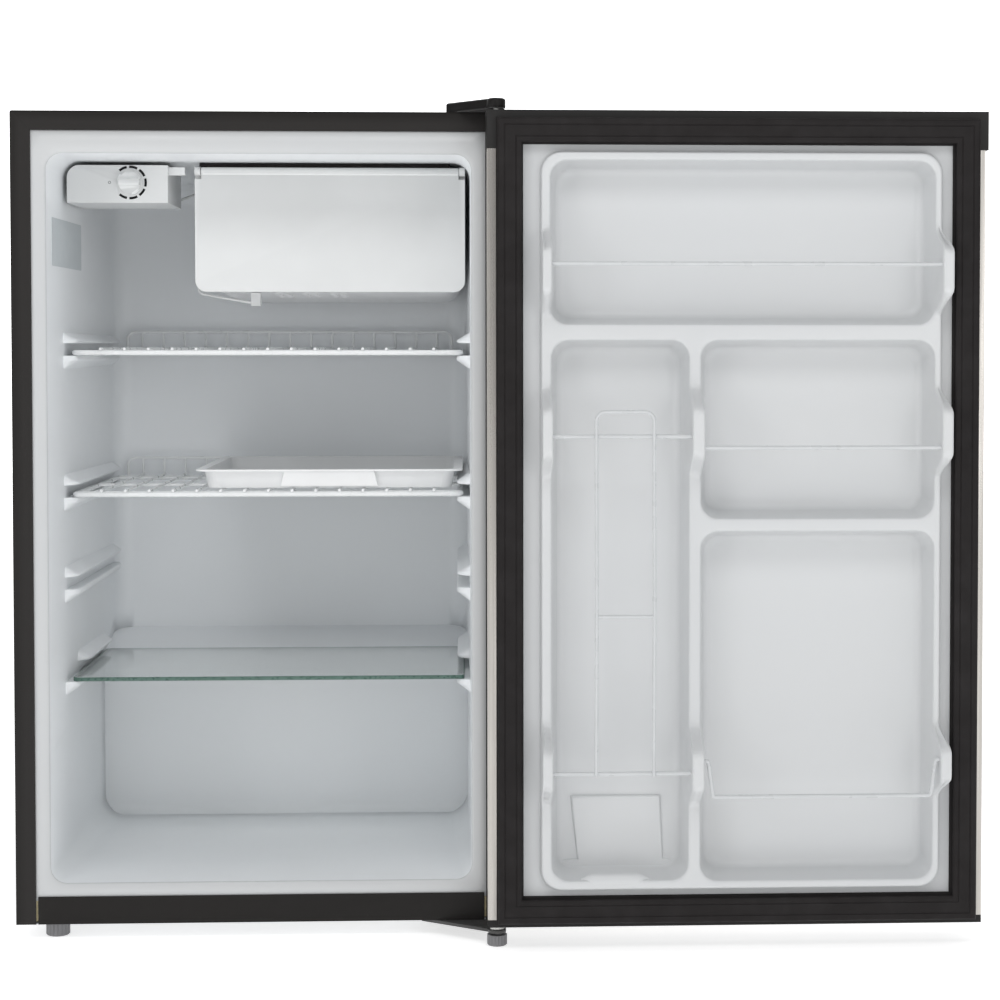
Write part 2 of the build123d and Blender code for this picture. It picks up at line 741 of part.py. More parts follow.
def freezer_flap():
    """Moulded flap with a barrel and two pins along its top edge."""
    x0, x1 = FREEZER_LEFT + 6.6, FREEZER_RIGHT - 6.6
    y0 = FLAP_AXIS_Y - FLAP / 2 + 0.5
    panel = slab(FREEZER_LEFT, FREEZER_RIGHT, FREEZER_BOTTOM, FLAP_AXIS_Z - 8, 12, y0, y0 + FLAP)
    panel -= slab(FREEZER_LEFT + 10, FREEZER_RIGHT - 10, FREEZER_BOTTOM + 10, FLAP_AXIS_Z - 18,
                  8, y0 + 2.2, y0 + FLAP + 1)
    web = block(x0, x1, y0, y0 + FLAP, FLAP_AXIS_Z - 20, FLAP_AXIS_Z)
    square = block(FREEZER_LEFT, FREEZER_RIGHT, y0, y0 + FLAP, FLAP_AXIS_Z - 26, FLAP_AXIS_Z - 8)
    barrel = along_x(FLAP_AXIS_Y, FLAP_AXIS_Z, x0, x1, FLAP_BARREL_R)
    pins = along_x(FLAP_AXIS_Y, FLAP_AXIS_Z, FREEZER_LEFT + 0.5, FREEZER_RIGHT - 0.5, FLAP_PIN_R)
    return panel + web + square + barrel + pins


# ================================================================== thermostat
def housing_block(inset, corner):
    """The thermostat box as a solid, smaller by inset, with its upper left edge rounded."""
    box = block(
        HOUSING_LEFT + inset,
        HOUSING_RIGHT - inset,
        HOUSING_FRONT + inset,
        HOUSING_BACK - inset,
        HOUSING_BOTTOM + inset,
        HOUSING_TOP - inset,
    )
    long_edges = box.edges().filter_by(Axis.Y)
    upper_left = long_edges.group_by(Axis.Z)[-1].sort_by(Axis.X)[0]
    return fillet(upper_left, corner)


def thermostat_housing():
    """White box in the top left corner, with its back open."""
    outer = housing_block(0, 13.0)
    inner = housing_block(HOUSING_WALL, 11.0)
    back_hole = block(HOUSING_LEFT + 20, HOUSING_RIGHT - 20, HOUSING_BACK - 5, HOUSING_BACK + 5,
                      HOUSING_BOTTOM + 12, HOUSING_TOP - 10)
    shaft_hole = along_y(DIAL_X, DIAL_Z, HOUSING_FRONT - 5, HOUSING_FRONT + 10, 5.0)
    return outer - inner - back_hole - shaft_hole


def thermostat_body():
    """Switch box of the thermostat with its turning shaft's bearing."""
    y0 = HOUSING_FRONT + HOUSING_WALL
    case = block(DIAL_X - 22, DIAL_X + 26, y0, y0 + 30, HOUSING_BOTTOM + 5, HOUSING_TOP - 4)
    neck = along_y(DIAL_X, DIAL_Z, y0 - 1.5, y0 + 1, 4.8)
    return case + neck - along_y(DIAL_X, DIAL_Z, y0 - 5, y0 + 14, DIAL_SHAFT_R + RUNNING)


def thermostat_knob():
    """Dial with a raised grip and the shaft it turns."""
    y1 = HOUSING_FRONT - 0.4
    base = along_y(DIAL_X, DIAL_Z, y1 - 3, y1, KNOB_R)
    hub = along_y(DIAL_X, DIAL_Z, y1 - 11, y1 - 3, KNOB_R - 1.5)
    hub = fillet(hub.edges().filter_by(GeomType.CIRCLE).sort_by(Axis.Y)[0], 1.2)
    grip_half = 3.2
    waste = [
        block(DIAL_X - 20, DIAL_X + 20, y1 - 12, y1 - 4, DIAL_Z + grip_half, DIAL_Z + 20),
        block(DIAL_X - 20, DIAL_X + 20, y1 - 12, y1 - 4, DIAL_Z - 20, DIAL_Z - grip_half),
    ]
    pointer = plan_profile(
        [
            (DIAL_X - 8, y1 - 9),
            (DIAL_X - KNOB_R + 1, y1 - 3),
            (DIAL_X - KNOB_R + 1, y1 - 1),
            (DIAL_X - 8, y1 - 1),
        ],
        DIAL_Z - 1.6,
        DIAL_Z + 1.6,
    )
    shaft = along_y(DIAL_X, DIAL_Z, y1 - 2, HOUSING_FRONT + HOUSING_WALL + 13, DIAL_SHAFT_R)
    return base + (hub - waste) + pointer + shaft


def sensor_points():
    """Route of the sensing tube: out of the box, down beside the freezer and under it."""
    beside = FREEZER_LEFT - 5
    under = FREEZER_BOTTOM - 5
    return [
        (HOUSING_RIGHT - 30, HOUSING_BACK - 30, HOUSING_BOTTOM + 19),
        (HOUSING_RIGHT - 30, HOUSING_BACK + 16, HOUSING_BOTTOM + 19),
        (HOUSING_RIGHT - 6, HOUSING_BACK + 20, HOUSING_BOTTOM + 10),
        (beside, HOUSING_BACK + 14, HOUSING_BOTTOM + 20),
        (beside, HOUSING_BACK - 30, under + 5),
        (FREEZER_LEFT + 21, HOUSING_BACK - 36, under),
        (FREEZER_LEFT + 58, HOUSING_BACK - 40, under - 6),
    ]


def sensor_tube():
    return bent_wire(sensor_points(), 7.0, SENSOR_R)


def sensor_clamp():
    """Clip under the freezer that holds the end of the sensing tube."""
    x, y, z = sensor_points()[-1]
    clip = block(x - 6, x + 4, y - 2, y + 12, z - 2.6, FREEZER_BOTTOM + 0.6)
    return clip - sensor_tube()


def sensor_passage():
    """Hole through the foam for the thermostat's wires."""
    return along_y(HOUSING_LEFT + 40, HOUSING_BOTTOM + 20, CAVITY_BACK + LINER, CAVITY_BACK + LINER + 12, 5)


# ================================================================== shelves and tray
def shelf_wires(surface):
    """Front-to-back wires; each is bent up at the back as a fence post."""
    z = surface - WIRE_R
    wires = []
    for number in range(WIRES):
        x = MIDDLE + WIRE_PITCH * (number - (WIRES - 1) / 2)
        points = [
            (x, SHELF_FRONT - 1.0, z),
            (x, SHELF_BACK - RAIL_R, z),
            (x, SHELF_BACK - RAIL_R, z + FENCE),
        ]
        wires.append(bent_wire(points, 4.0, WIRE_R))
    return wires


def wire_shelf(surface):
    """Welded wire shelf: frame, cross wires, long wires and the rear fence."""
    z = surface - 2 * WIRE_R - RAIL_R + WELD
    half = SHELF_HALF - RAIL_R
    front, back = SHELF_FRONT + RAIL_R, SHELF_BACK - RAIL_R
    frame = wire_loop(MIDDLE - half, MIDDLE + half, front, back, z, 9.0, RAIL_R)
    cross_z = surface - 2 * WIRE_R - CROSS_R + WELD
    crosses = [
        along_x(y, cross_z, MIDDLE - half, MIDDLE + half, CROSS_R)
        for y in (front + 16, (front + back) / 2, back - 16)
    ]
    top_z = surface - WIRE_R + FENCE
    fence = bent_wire(
        [
            (MIDDLE - FENCE_HALF, back, z),
            (MIDDLE - FENCE_HALF, back, top_z),
            (MIDDLE + FENCE_HALF, back, top_z),
            (MIDDLE + FENCE_HALF, back, z),
        ],
        9.0,
        WIRE_R + 0.3,
    )
    return frame + [fence] + crosses + shelf_wires(surface)


def glass_shelf():
    """Toughened glass cover over the salad space."""
    plate = block(MIDDLE - GLASS_HALF, MIDDLE + GLASS_HALF, GLASS_FRONT, GLASS_BACK,
                  GLASS_LEVEL - GLASS, GLASS_LEVEL)
    plate = fillet(plate.edges().filter_by(Axis.Z), 6)
    return chamfer(plate.faces().sort_by(Axis.Z)[-1].edges(), 0.6)


def tray_hull(inset, z0, z1):
    """The drip tray's form between two heights, smaller by inset."""
    faces = []
    for z, out in ((TRAY_FLOOR, 0.0), (TRAY_TOP, 3.0)):
        x0 = TRAY_LEFT + 11 - out + inset
        x1 = TRAY_RIGHT - 11 + out - inset
        y0 = TRAY_FRONT + 9 - out + inset
        y1 = TRAY_BACK - 9 + out - inset
        plane = Plane(origin=((x0 + x1) / 2, (y0 + y1) / 2, z))
        faces.append(plane * RectangleRounded(x1 - x0, y1 - y0, 12 - inset))
    keep = block(LEFT, RIGHT, FRONT, BACK, z0, z1)
    return loft(faces) & keep


def drip_tray():
    """Shallow white tray that stands on the lower shelf and catches defrost water."""
    body = tray_hull(0, TRAY_FLOOR, TRAY_TOP)
    rim_plane = Plane(
        origin=((TRAY_LEFT + TRAY_RIGHT) / 2, (TRAY_FRONT + TRAY_BACK) / 2, TRAY_TOP - 2)
    )
    wide, deep = TRAY_RIGHT - TRAY_LEFT, TRAY_BACK - TRAY_FRONT
    rim = extrude(rim_plane * RectangleRounded(wide, deep, 12), amount=2)
    hollow = tray_hull(TRAY_WALL, TRAY_FLOOR + TRAY_WALL, TRAY_TOP)
    pull_x = (TRAY_LEFT + TRAY_RIGHT) / 2
    pull = front_profile(
        [
            (pull_x - 47, TRAY_TOP - 1),
            (pull_x + 47, TRAY_TOP - 1),
            (pull_x + 51, TRAY_FLOOR + 2),
            (pull_x - 51, TRAY_FLOOR + 2),
        ],
        TRAY_FRONT + 2,
        TRAY_FRONT + 9,
    )
    return body + rim + pull - hollow


# ================================================================== door
def from_hinge_edge(distance):
    """X of a place measured across the closed door from its hinge-side edge."""
    return RIGHT - distance


def door_span(u0, u1):
    """The closed door's X range between two distances from the hinge edge, lowest first."""
    return from_hinge_edge(u1), from_hinge_edge(u0)


def door_shell(inset):
    """The door's steel body as a solid, smaller all round by inset."""
    body = block(LEFT + inset, RIGHT - inset, DOOR_FRONT + inset, DOOR_INNER - inset,
                 BOTTOM_CAP_TOP, TOP_CAP_BOTTOM)
    edges = body.edges().filter_by(Axis.Z)
    return fillet(edges.group_by(Axis.Y)[0], DOOR_EDGE_R - inset)


def door_skin():
    """Stainless front, folded round both upright edges."""
    x0, x1 = door_span(DOOR_SKIN_HINGE, WIDTH - DOOR_SKIN_FREE)
    opening = block(x0, x1, DOOR_INNER - 5, DOOR_INNER + 5, 0, CABINET_TOP)
    return door_shell(0) - door_shell(DOOR_SHEET) - opening


def door_cap(z0, z1, proud):
    """A moulded cap over one end of the door, as a solid."""
    cap = block(LEFT - proud, RIGHT, DOOR_FRONT, DOOR_INNER, z0, z1)
    return fillet(cap.edges().filter_by(Axis.Z).group_by(Axis.Y)[0], DOOR_EDGE_R)


def door_top_cap():
    """Black top cap with a recessed finger grip in its front."""
    cap = door_cap(TOP_CAP_BOTTOM, DOOR_TOP, CAP_PROUD)
    x0, x1, y0, y1 = LEFT + 3, RIGHT - 3, DOOR_FRONT + 3, DOOR_INNER - 3
    cap -= block(x0, x1, y0, y1, TOP_CAP_BOTTOM - 1, DOOR_TOP - 3)
    boss = upright(0, 0, TOP_CAP_BOTTOM, DOOR_TOP - 1, BUSH_R + 3)
    grip_wall = slab(HANDLE_X0 - 3, HANDLE_X1 + 3, HANDLE_Z0 - 3, HANDLE_Z1 + 3, 9,
                     DOOR_FRONT + 1, DOOR_FRONT + HANDLE_DEEP + 3)
    grip = slab(HANDLE_X0, HANDLE_X1, HANDLE_Z0, HANDLE_Z1, 7, DOOR_FRONT - 1,
                DOOR_FRONT + HANDLE_DEEP)
    cap = cap + boss + (grip_wall & door_cap(TOP_CAP_BOTTOM, DOOR_TOP, CAP_PROUD)) - grip
    return cap - upright(0, 0, 0, COVER_TOP, BUSH_R)


def door_bottom_cap():
    cap = door_cap(DOOR_BOTTOM, BOTTOM_CAP_TOP, 0)
    x0, x1, y0, y1 = LEFT + 3, RIGHT - 3, DOOR_FRONT + 3, DOOR_INNER - 3
    cap -= block(x0, x1, y0, y1, DOOR_BOTTOM + 3, BOTTOM_CAP_TOP + 1)
    boss = upright(0, 0, DOOR_BOTTOM, BOTTOM_CAP_TOP, BUSH_R + 1.5)
    return cap + boss - upright(0, 0, 0, 100, BUSH_R)


def door_bin(bounds, grow):
    """One compartment's hollow, larger by grow, from the recess floor to past the ears."""
    x0, x1 = door_span(bounds[0], bounds[1])
    z0, z1 = bounds[2], bounds[3]
    floor = rounded_face(x0 + BIN_DRAFT - grow, x1 - BIN_DRAFT + grow, z0 + BIN_DRAFT - grow,
                         z1 - BIN_DRAFT + grow, BIN_CORNER + grow, RECESS - grow)
    mouth = rounded_face(x0 - grow, x1 + grow, z0 - grow, z1 + grow, BIN_CORNER + grow, RIM_TOP)
    beyond = extrude(mouth, amount=EAR_TOP - RIM_TOP + 10)
    return loft([floor, mouth]) + beyond


def door_bins(grow):
    """All four compartments. Neighbours keep a divider between them."""
    return [door_bin(bounds, grow) for bounds in BINS]


def raised_body(inset, floor):
    """The liner's raised island behind the gasket, smaller by inset."""
    x0, x1 = door_span(DOOR_LINER_HINGE, DOOR_LINER_FREE)
    base = rounded_face(x0 + inset, x1 - inset, DOOR_LINER_BOTTOM + inset,
                        DOOR_LINER_TOP - inset, 18 - inset, floor)
    top = rounded_face(x0 + inset + 1, x1 - inset - 1, DOOR_LINER_BOTTOM + inset + 1,
                       DOOR_LINER_TOP - inset - 1, 17 - inset, RIM_TOP - inset)
    return loft([base, top])


def ear(u0, u1, z0, z1, foot=RIM_TOP - 2):
    """A standing bracket that holds the end of a retaining wire."""
    x0, x1 = door_span(u0, u1)
    slope = 15.0
    profile = [
        (foot, z0 - 2),
        (EAR_TOP - 10, z0 + slope),
        (EAR_TOP, z0 + slope + 10),
        (EAR_TOP, z1 - slope - 10),
        (EAR_TOP - 10, z1 - slope),
        (foot, z1 + 2),
    ]
    return side_profile(profile, x0, x1)


def ears():
    """Wire brackets on the liner's walls: outer walls and the divider."""
    inner = DOOR_LINER_HINGE + 1
    foot = DOOR_INNER - DOOR_SHEET - DOOR_LINER / 2
    divider = (COLUMN_BIN[1], MIDDLE_BIN[0])
    return [
        ear(inner, TOP_BIN[0], *TOP_EAR),
        ear(TOP_BIN[1], FREE_EAR_OUT, *TOP_EAR, foot),
        ear(inner, COLUMN_BIN[0], *MIDDLE_EAR),
        ear(*divider, *MIDDLE_EAR),
        ear(MIDDLE_BIN[1], FREE_EAR_OUT, *MIDDLE_EAR, foot),
        ear(inner, COLUMN_BIN[0], *LOW_EAR),
        ear(*divider, *LOW_EAR),
        ear(LOW_BIN[1], FREE_EAR_OUT, *LOW_FREE_EAR, foot),
    ]


def door_liner(wires):
    """White formed inner face of the door, with four compartments."""
    x0, x1 = LEFT + DOOR_SHEET, RIGHT - DOOR_SHEET
    floor = DOOR_INNER - DOOR_SHEET - DOOR_LINER
    sheet = block(x0, x1, floor, floor + DOOR_LINER, BOTTOM_CAP_TOP + 1, TOP_CAP_BOTTOM - 1)
    tubs = door_bins(DOOR_LINER)
    limit = block(LEFT, RIGHT, DOOR_FRONT, RIM_TOP, 0, CABINET_TOP)
    tubs = Part() + [tub & limit for tub in tubs]
    solid = sheet + [raised_body(0, floor)] + ears() + tubs
    core = raised_body(DOOR_LINER, floor) - tubs
    solid -= core
    solid -= door_bins(0)
    return solid - wires


def door_foam():
    """Insulation inside the door."""
    x0, x1 = LEFT + DOOR_SHEET, RIGHT - DOOR_SHEET
    floor = DOOR_INNER - DOOR_SHEET - DOOR_LINER
    body = block(x0, x1, DOOR_FRONT + DOOR_SHEET, floor, BOTTOM_CAP_TOP, TOP_CAP_BOTTOM)
    body = fillet(body.edges().filter_by(Axis.Z).group_by(Axis.Y)[0], DOOR_EDGE_R - DOOR_SHEET)
    limit = block(LEFT, RIGHT, DOOR_FRONT, RIM_TOP, 0, CABINET_TOP)
    tubs = Part() + [tub & limit for tub in door_bins(DOOR_LINER)]
    body = body + raised_body(DOOR_LINER, floor) - tubs
    body -= upright(0, 0, 0, 60, BUSH_R + 2)
    return body - upright(0, 0, TOP_CAP_BOTTOM - 20, CABINET_TOP, BUSH_R + 4)


def ring(inset_outer, inset_inner, y0, y1):
    """A rectangular ring, inset from the gasket's outer edge."""
    u0, u1 = DOOR_SKIN_HINGE, WIDTH - DOOR_SKIN_FREE
    x0, x1 = door_span(u0, u1)
    outer = block(x0 + inset_outer, x1 - inset_outer, y0, y1,
                  GASKET_BOTTOM + inset_outer, GASKET_TOP - inset_outer)
    hole = block(x0 + inset_inner, x1 - inset_inner, y0 - 1, y1 + 1,
                 GASKET_BOTTOM + inset_inner, GASKET_TOP - inset_inner)
    return outer - hole


def door_gasket():
    """Black magnetic seal: base, folded bellows and the bulb that holds the magnets."""
    base = ring(0, GASKET_WIDE, DOOR_INNER, DOOR_INNER + 4)
    bellows = ring(4, GASKET_WIDE - 7, DOOR_INNER + 4, DOOR_INNER + 7)
    bulb = ring(1.5, GASKET_WIDE - 2, DOOR_INNER + 7, GASKET_FACE)
    lip = fillet(bulb.edges().filter_by(Axis.Z).group_by(Axis.Y)[-1], 1.5)
    return base + bellows + lip - magnet_ring()


def magnet_ring():
    """The groove in the bulb that the magnet strips lie in."""
    return ring(MAGNET_INSET, GASKET_WIDE - 2, MAGNET_Y, MAGNET_Y + MAGNET)


def gasket_magnets():
    """Four flexible magnet strips, one along each side of the seal."""
    strip = ring(MAGNET_INSET, GASKET_WIDE - 8, MAGNET_Y, MAGNET_Y + MAGNET)
    cut = GASKET_WIDE + 1
    x0, x1 = door_span(DOOR_SKIN_HINGE, WIDTH - DOOR_SKIN_FREE)
    for x in (x0, x1):
        for z in (GASKET_BOTTOM, GASKET_TOP):
            strip -= block(x - cut, x + cut, DOOR_INNER, FRONT, z - cut, z + cut)
    return strip


def wire_span(bounds):
    """X range of a retaining wire, which ends inside the brackets."""
    into = 4.5
    return from_hinge_edge(bounds[1] + into), from_hinge_edge(bounds[0] - into)


def top_rack_bar():
    x0, x1 = wire_span(TOP_BIN)
    return along_x(BAR_Y, TOP_BAR_Z, x0, x1, BAR_R)


def middle_rack_bar():
    x0, x1 = wire_span(MIDDLE_BIN)
    return along_x(BAR_Y, MIDDLE_BAR_Z, x0, x1, BAR_R)


def low_rack_bar():
    """Wire that drops below its end holes and runs across lower down."""
    x0, x1 = wire_span(LOW_BIN)
    into = 8.5
    points = [
        (x0, BAR_Y, LOW_BAR_END_Z),
        (x0 + into, BAR_Y, LOW_BAR_END_Z),
        (x0 + into + 5, BAR_Y, LOW_BAR_Z),
        (x1 - into - 5, BAR_Y, LOW_BAR_Z),
        (x1 - into, BAR_Y, LOW_BAR_END_Z),
        (x1, BAR_Y, LOW_BAR_END_Z),
    ]
    return bent_wire(points, 2.4, BAR_R)


def can_rack():
    """Wire guard of the tall column: a bowed arch welded behind three cross wires."""
    x0, x1 = wire_span(COLUMN_BIN)
    left, right = from_hinge_edge(RACK_FAR), from_hinge_edge(RACK_NEAR)
    foot_z, shoulder_z = RACK_FOOT_Z - 2, RACK_TOP_Z - 15
    arch = [bent_wire(
        [(left, BAR_Y, shoulder_z), (left, BAR_Y, RACK_TOP_Z), (right, BAR_Y, RACK_TOP_Z),
         (right, BAR_Y, shoulder_z)],
        9.0,
        RACK_R,
    )]
    for x in (left, right):
        line = Spline(
            (x, BAR_Y, foot_z),
            (x, BAR_Y + RACK_BOW, RACK_MIDDLE_Z),
            (x, BAR_Y, shoulder_z),
            tangents=((0, 0, 1), (0, 0, 1)),
        )
        section = Plane(origin=line @ 0, z_dir=line % 0) * Circle(RACK_R)
        arch.append(sweep(section, path=line))
    sink = 1.2
    cross_y = BAR_Y - BAR_R - RACK_R + sink
    across = [
        along_x(cross_y, RACK_CROSS_Z, x0, x1, BAR_R),
        along_x(cross_y, RACK_FOOT_Z, x0, x1, BAR_R),
        along_x(BAR_Y + RACK_BOW - sink, RACK_MIDDLE_Z, left, right, RACK_R),
    ]
    return Part() + arch + across


def bush(z0, z1, flange_z0, flange_z1, bore):
    sleeve = upright(0, 0, z0, z1, BUSH_R)
    flange = upright(0, 0, flange_z0, flange_z1, BUSH_R + 1.5)
    return sleeve + flange - upright(0, 0, 0, COVER_TOP, bore + RUNNING)


def top_bush():
    return bush(TOP_CAP_BOTTOM + 14, DOOR_TOP, DOOR_TOP, DOOR_TOP + 1.2, PIN_R)


def bottom_bush():
    return bush(DOOR_BOTTOM, DOOR_BOTTOM + 22, DOOR_BOTTOM - 1.5, DOOR_BOTTOM, LOWER_PIN_R)


def door_stop():
    """Small moulded stop under the door, beside the pivot."""
    return block(-20, -12, -24, -10, DOOR_BOTTOM - 4, DOOR_BOTTOM)


# ================================================================== hinges
def hinge_outline(grow, boss_r, left):
    """Plan of a hinge plate: a pad on the cabinet and a tapering arm to the pivot."""
    pad = [
        (left - grow, FRONT + 10),
        (left - grow, FRONT + 56 + grow),
        (3 + grow, FRONT + 56 + grow),
        (boss_r + grow, 0),
        (-boss_r - grow, 0),
    ]
    return make_face(Polyline(*pad, close=True)) + Circle(boss_r + grow)


def top_hinge_bracket():
    z = CABINET_TOP
    plate = extrude(Pos(0, 0, z) * hinge_outline(0, 7.5, -48), amount=TOP_PLATE)
    plate -= upright(0, 0, z - 1, z + 9, PIN_R)
    for x, y in TOP_SCREWS:
        plate -= upright(x, y, z - 1, z + 9, M5)
    return plate


def top_hinge_pin():
    """Steel pin riveted to the plate; the door's top bush turns on it."""
    pin = upright(0, 0, TOP_CAP_BOTTOM + 15, CABINET_TOP + TOP_PLATE, PIN_R)
    return pin + upright(0, 0, CABINET_TOP + TOP_PLATE, CABINET_TOP + TOP_PLATE + 1.5, PIN_R + 2)


def top_hinge_cover():
    """Plastic cap over the top hinge."""
    z0, z1 = CABINET_TOP + TOP_PLATE, COVER_TOP
    shell = extrude(Pos(0, 0, CABINET_TOP) * hinge_outline(1.8, 7.5, -48), amount=z1 - CABINET_TOP)
    shell = chamfer(shell.faces().sort_by(Axis.Z)[-1].edges(), 1.5)
    inside = extrude(Pos(0, 0, CABINET_TOP - 1) * hinge_outline(0.2, 7.5, -48),
                     amount=z1 - 1.6 - CABINET_TOP + 1)
    over_door = block(-60, 60, -40, FRONT - 1, CABINET_TOP - 1, z0 - 1.5)
    return shell - inside - over_door


def screws(places, head_z, direction):
    """Pan-head screws. Direction is -1 when they point down."""
    made = []
    for x, y in places:
        tip = head_z + direction * SCREW_LONG
        top = head_z - direction * 2.6
        made.append(upright(x, y, min(head_z, tip), max(head_z, tip), M5)
                    + upright(x, y, min(head_z, top), max(head_z, top), 4.6))
    return Part() + made


def bottom_hinge_bracket():
    z0, z1 = CABINET_BOTTOM - BOTTOM_PLATE, CABINET_BOTTOM
    plate = extrude(Pos(0, 0, z0) * hinge_outline(0, 9.0, -76), amount=BOTTOM_PLATE)
    plate -= upright(0, 0, 0, z1 + 1, LOWER_PIN_R)
    for x, y in BOTTOM_SCREWS:
        plate -= upright(x, y, 0, z1 + 1, M5)
    return plate


def bottom_hinge_pin():
    """Hollow pin pressed into the lower plate. The foot's stud screws up inside it."""
    low, high = CABINET_BOTTOM - BOTTOM_PLATE, DOOR_BOTTOM + 18
    shoulder = upright(0, 0, CABINET_BOTTOM, DOOR_BOTTOM - 1.8, LOWER_PIN_R + 2.5)
    pin = upright(0, 0, low, high, LOWER_PIN_R) + shoulder
    return pin - upright(0, 0, 0, DOOR_BOTTOM + 10, FOOT_STUD_R + RUNNING)


def bottom_hinge_screws():
    return screws(BOTTOM_SCREWS, CABINET_BOTTOM - BOTTOM_PLATE, 1)


# ================================================================== feet
def rear_foot_places():
    return [(MIDDLE - FOOT_X, REAR_FOOT_Y), (MIDDLE + FOOT_X, REAR_FOOT_Y)]


def foot(x, y, radius, top, stud_top):
    """Ribbed levelling foot with its threaded stud."""
    pad = upright(x, y, 0, top, radius)
    pad = chamfer(pad.edges().group_by(Axis.Z)[0], 1.2)
    teeth = 18
    for cut in PolarLocations(radius + 0.4, teeth):
        pad -= Pos(x, y, top / 2) * cut * Cylinder(1.1, top * 2)
    return pad + upright(x, y, top - 1, stud_top, FOOT_STUD_R)


def front_left_foot():
    return foot(MIDDLE - FOOT_X, FRONT_FOOT_Y, FOOT_R, CABINET_BOTTOM - 2, BASE_TOP + 18)


def front_right_foot():
    return foot(0, 0, HINGE_FOOT_R, CABINET_BOTTOM - BOTTOM_PLATE - 2, DOOR_BOTTOM + 8)


def rear_feet():
    """Two plain feet screwed to the base."""
    feet = []
    for x, y in rear_foot_places():
        pad = upright(x, y, 0, CABINET_BOTTOM, FOOT_R)
        pad = fillet(pad.edges().group_by(Axis.Z)[0], 2)
        feet.append(pad + upright(x, y, CABINET_BOTTOM - 1, BASE_TOP + 8, M5))
    return Part() + feet


# ================================================================== write every piece
def write_cabinet():
    backing = hinge_backing_plates()
    coil = condenser_coil()
    pieces = {
        "outer_wrap": outer_wrap(),
        "front_bottom_rail": front_bottom_rail(),
        "base_plate": base_plate(),
        "niche_panel": niche_panel(),
        "rear_panel": rear_panel(),
        "inner_liner": inner_liner(),
        "condenser_coil": coil,
        "hinge_backing_plates": backing,
        "cabinet_foam": cabinet_foam(backing, coil),
        "compressor": compressor(),
        "compressor_grommets": compressor_grommets(),
        "compressor_bolts": compressor_bolts(),
        "terminal_cover": terminal_cover(),
        "cord_gland": cord_gland(),
        "filter_drier": filter_drier(),
        "refrigerant_pipes": refrigerant_pipes(),
        "evaporator_box": evaporator_box(),
        "evaporator_screws": evaporator_screws(),
        "evaporator_spacers": evaporator_spacers(),
        "freezer_front_frame": freezer_front_frame(),
        "freezer_top_seal": freezer_top_seal(),
        "thermostat_housing": thermostat_housing(),
        "thermostat_body": thermostat_body(),
        "sensor_tube": sensor_tube(),
        "sensor_clamp": sensor_clamp(),
        "top_hinge_bracket": top_hinge_bracket(),
        "top_hinge_pin": top_hinge_pin(),
        "top_hinge_cover": top_hinge_cover(),
        "top_hinge_screws": screws(TOP_SCREWS, CABINET_TOP + TOP_PLATE, -1),
        "bottom_hinge_bracket": bottom_hinge_bracket(),
        "bottom_hinge_pin": bottom_hinge_pin(),
        "bottom_hinge_screws": bottom_hinge_screws(),
        "rear_feet": rear_feet(),
    }
    for name, shape in pieces.items():
        save(name, shape)


def write_door():
    bars = {
        "top_rack_bar": top_rack_bar(),
        "middle_rack_bar": middle_rack_bar(),
        "low_rack_bar": low_rack_bar(),
        "can_rack": can_rack(),
    }
    pieces = {
        "door_skin": door_skin(),
        "door_liner": door_liner(list(bars.values())),
        "door_foam": door_foam(),
        "door_gasket": door_gasket(),
        "gasket_magnets": gasket_magnets(),
        "door_top_cap": door_top_cap(),
        "door_bottom_cap": door_bottom_cap(),
        "top_bush": top_bush(),
        "bottom_bush": bottom_bush(),
        "door_stop": door_stop(),
    }
    for name, shape in {**bars, **pieces}.items():
        save(name, open_door(shape))


def write_loose_pieces():
    pieces = {
        "freezer_flap": freezer_flap(),
        "thermostat_knob": thermostat_knob(),
        "upper_wire_shelf": wire_shelf(UPPER_SHELF),
        "lower_wire_shelf": wire_shelf(LOWER_SHELF),
        "glass_shelf": glass_shelf(),
        "drip_tray": drip_tray(),
        "front_left_foot": front_left_foot(),
        "front_right_foot": front_right_foot(),
    }
    for name, shape in pieces.items():
        save(name, shape)


write_cabinet()
write_door()
write_loose_pieces()
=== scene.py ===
import json
import math

import bmesh
import bpy
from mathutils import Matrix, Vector
from mathutils.geometry import delaunay_2d_cdt


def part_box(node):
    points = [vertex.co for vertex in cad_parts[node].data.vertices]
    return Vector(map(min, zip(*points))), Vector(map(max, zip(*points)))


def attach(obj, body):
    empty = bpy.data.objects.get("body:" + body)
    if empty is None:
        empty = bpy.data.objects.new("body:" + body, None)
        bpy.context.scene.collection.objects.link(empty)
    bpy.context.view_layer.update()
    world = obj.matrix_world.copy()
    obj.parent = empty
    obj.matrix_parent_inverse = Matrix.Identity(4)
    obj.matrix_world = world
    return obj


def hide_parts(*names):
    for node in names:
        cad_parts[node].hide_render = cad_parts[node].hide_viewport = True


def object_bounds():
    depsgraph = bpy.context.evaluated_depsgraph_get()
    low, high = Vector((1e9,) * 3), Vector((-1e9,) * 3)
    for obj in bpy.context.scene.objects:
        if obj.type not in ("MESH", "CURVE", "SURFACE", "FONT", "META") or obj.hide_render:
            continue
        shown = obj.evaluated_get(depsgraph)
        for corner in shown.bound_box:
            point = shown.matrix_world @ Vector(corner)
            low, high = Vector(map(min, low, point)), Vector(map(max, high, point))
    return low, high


# A compact refrigerator with its door open. Metres, +Z up, front towards -Y.
# The door's hinge axis is the Z axis.

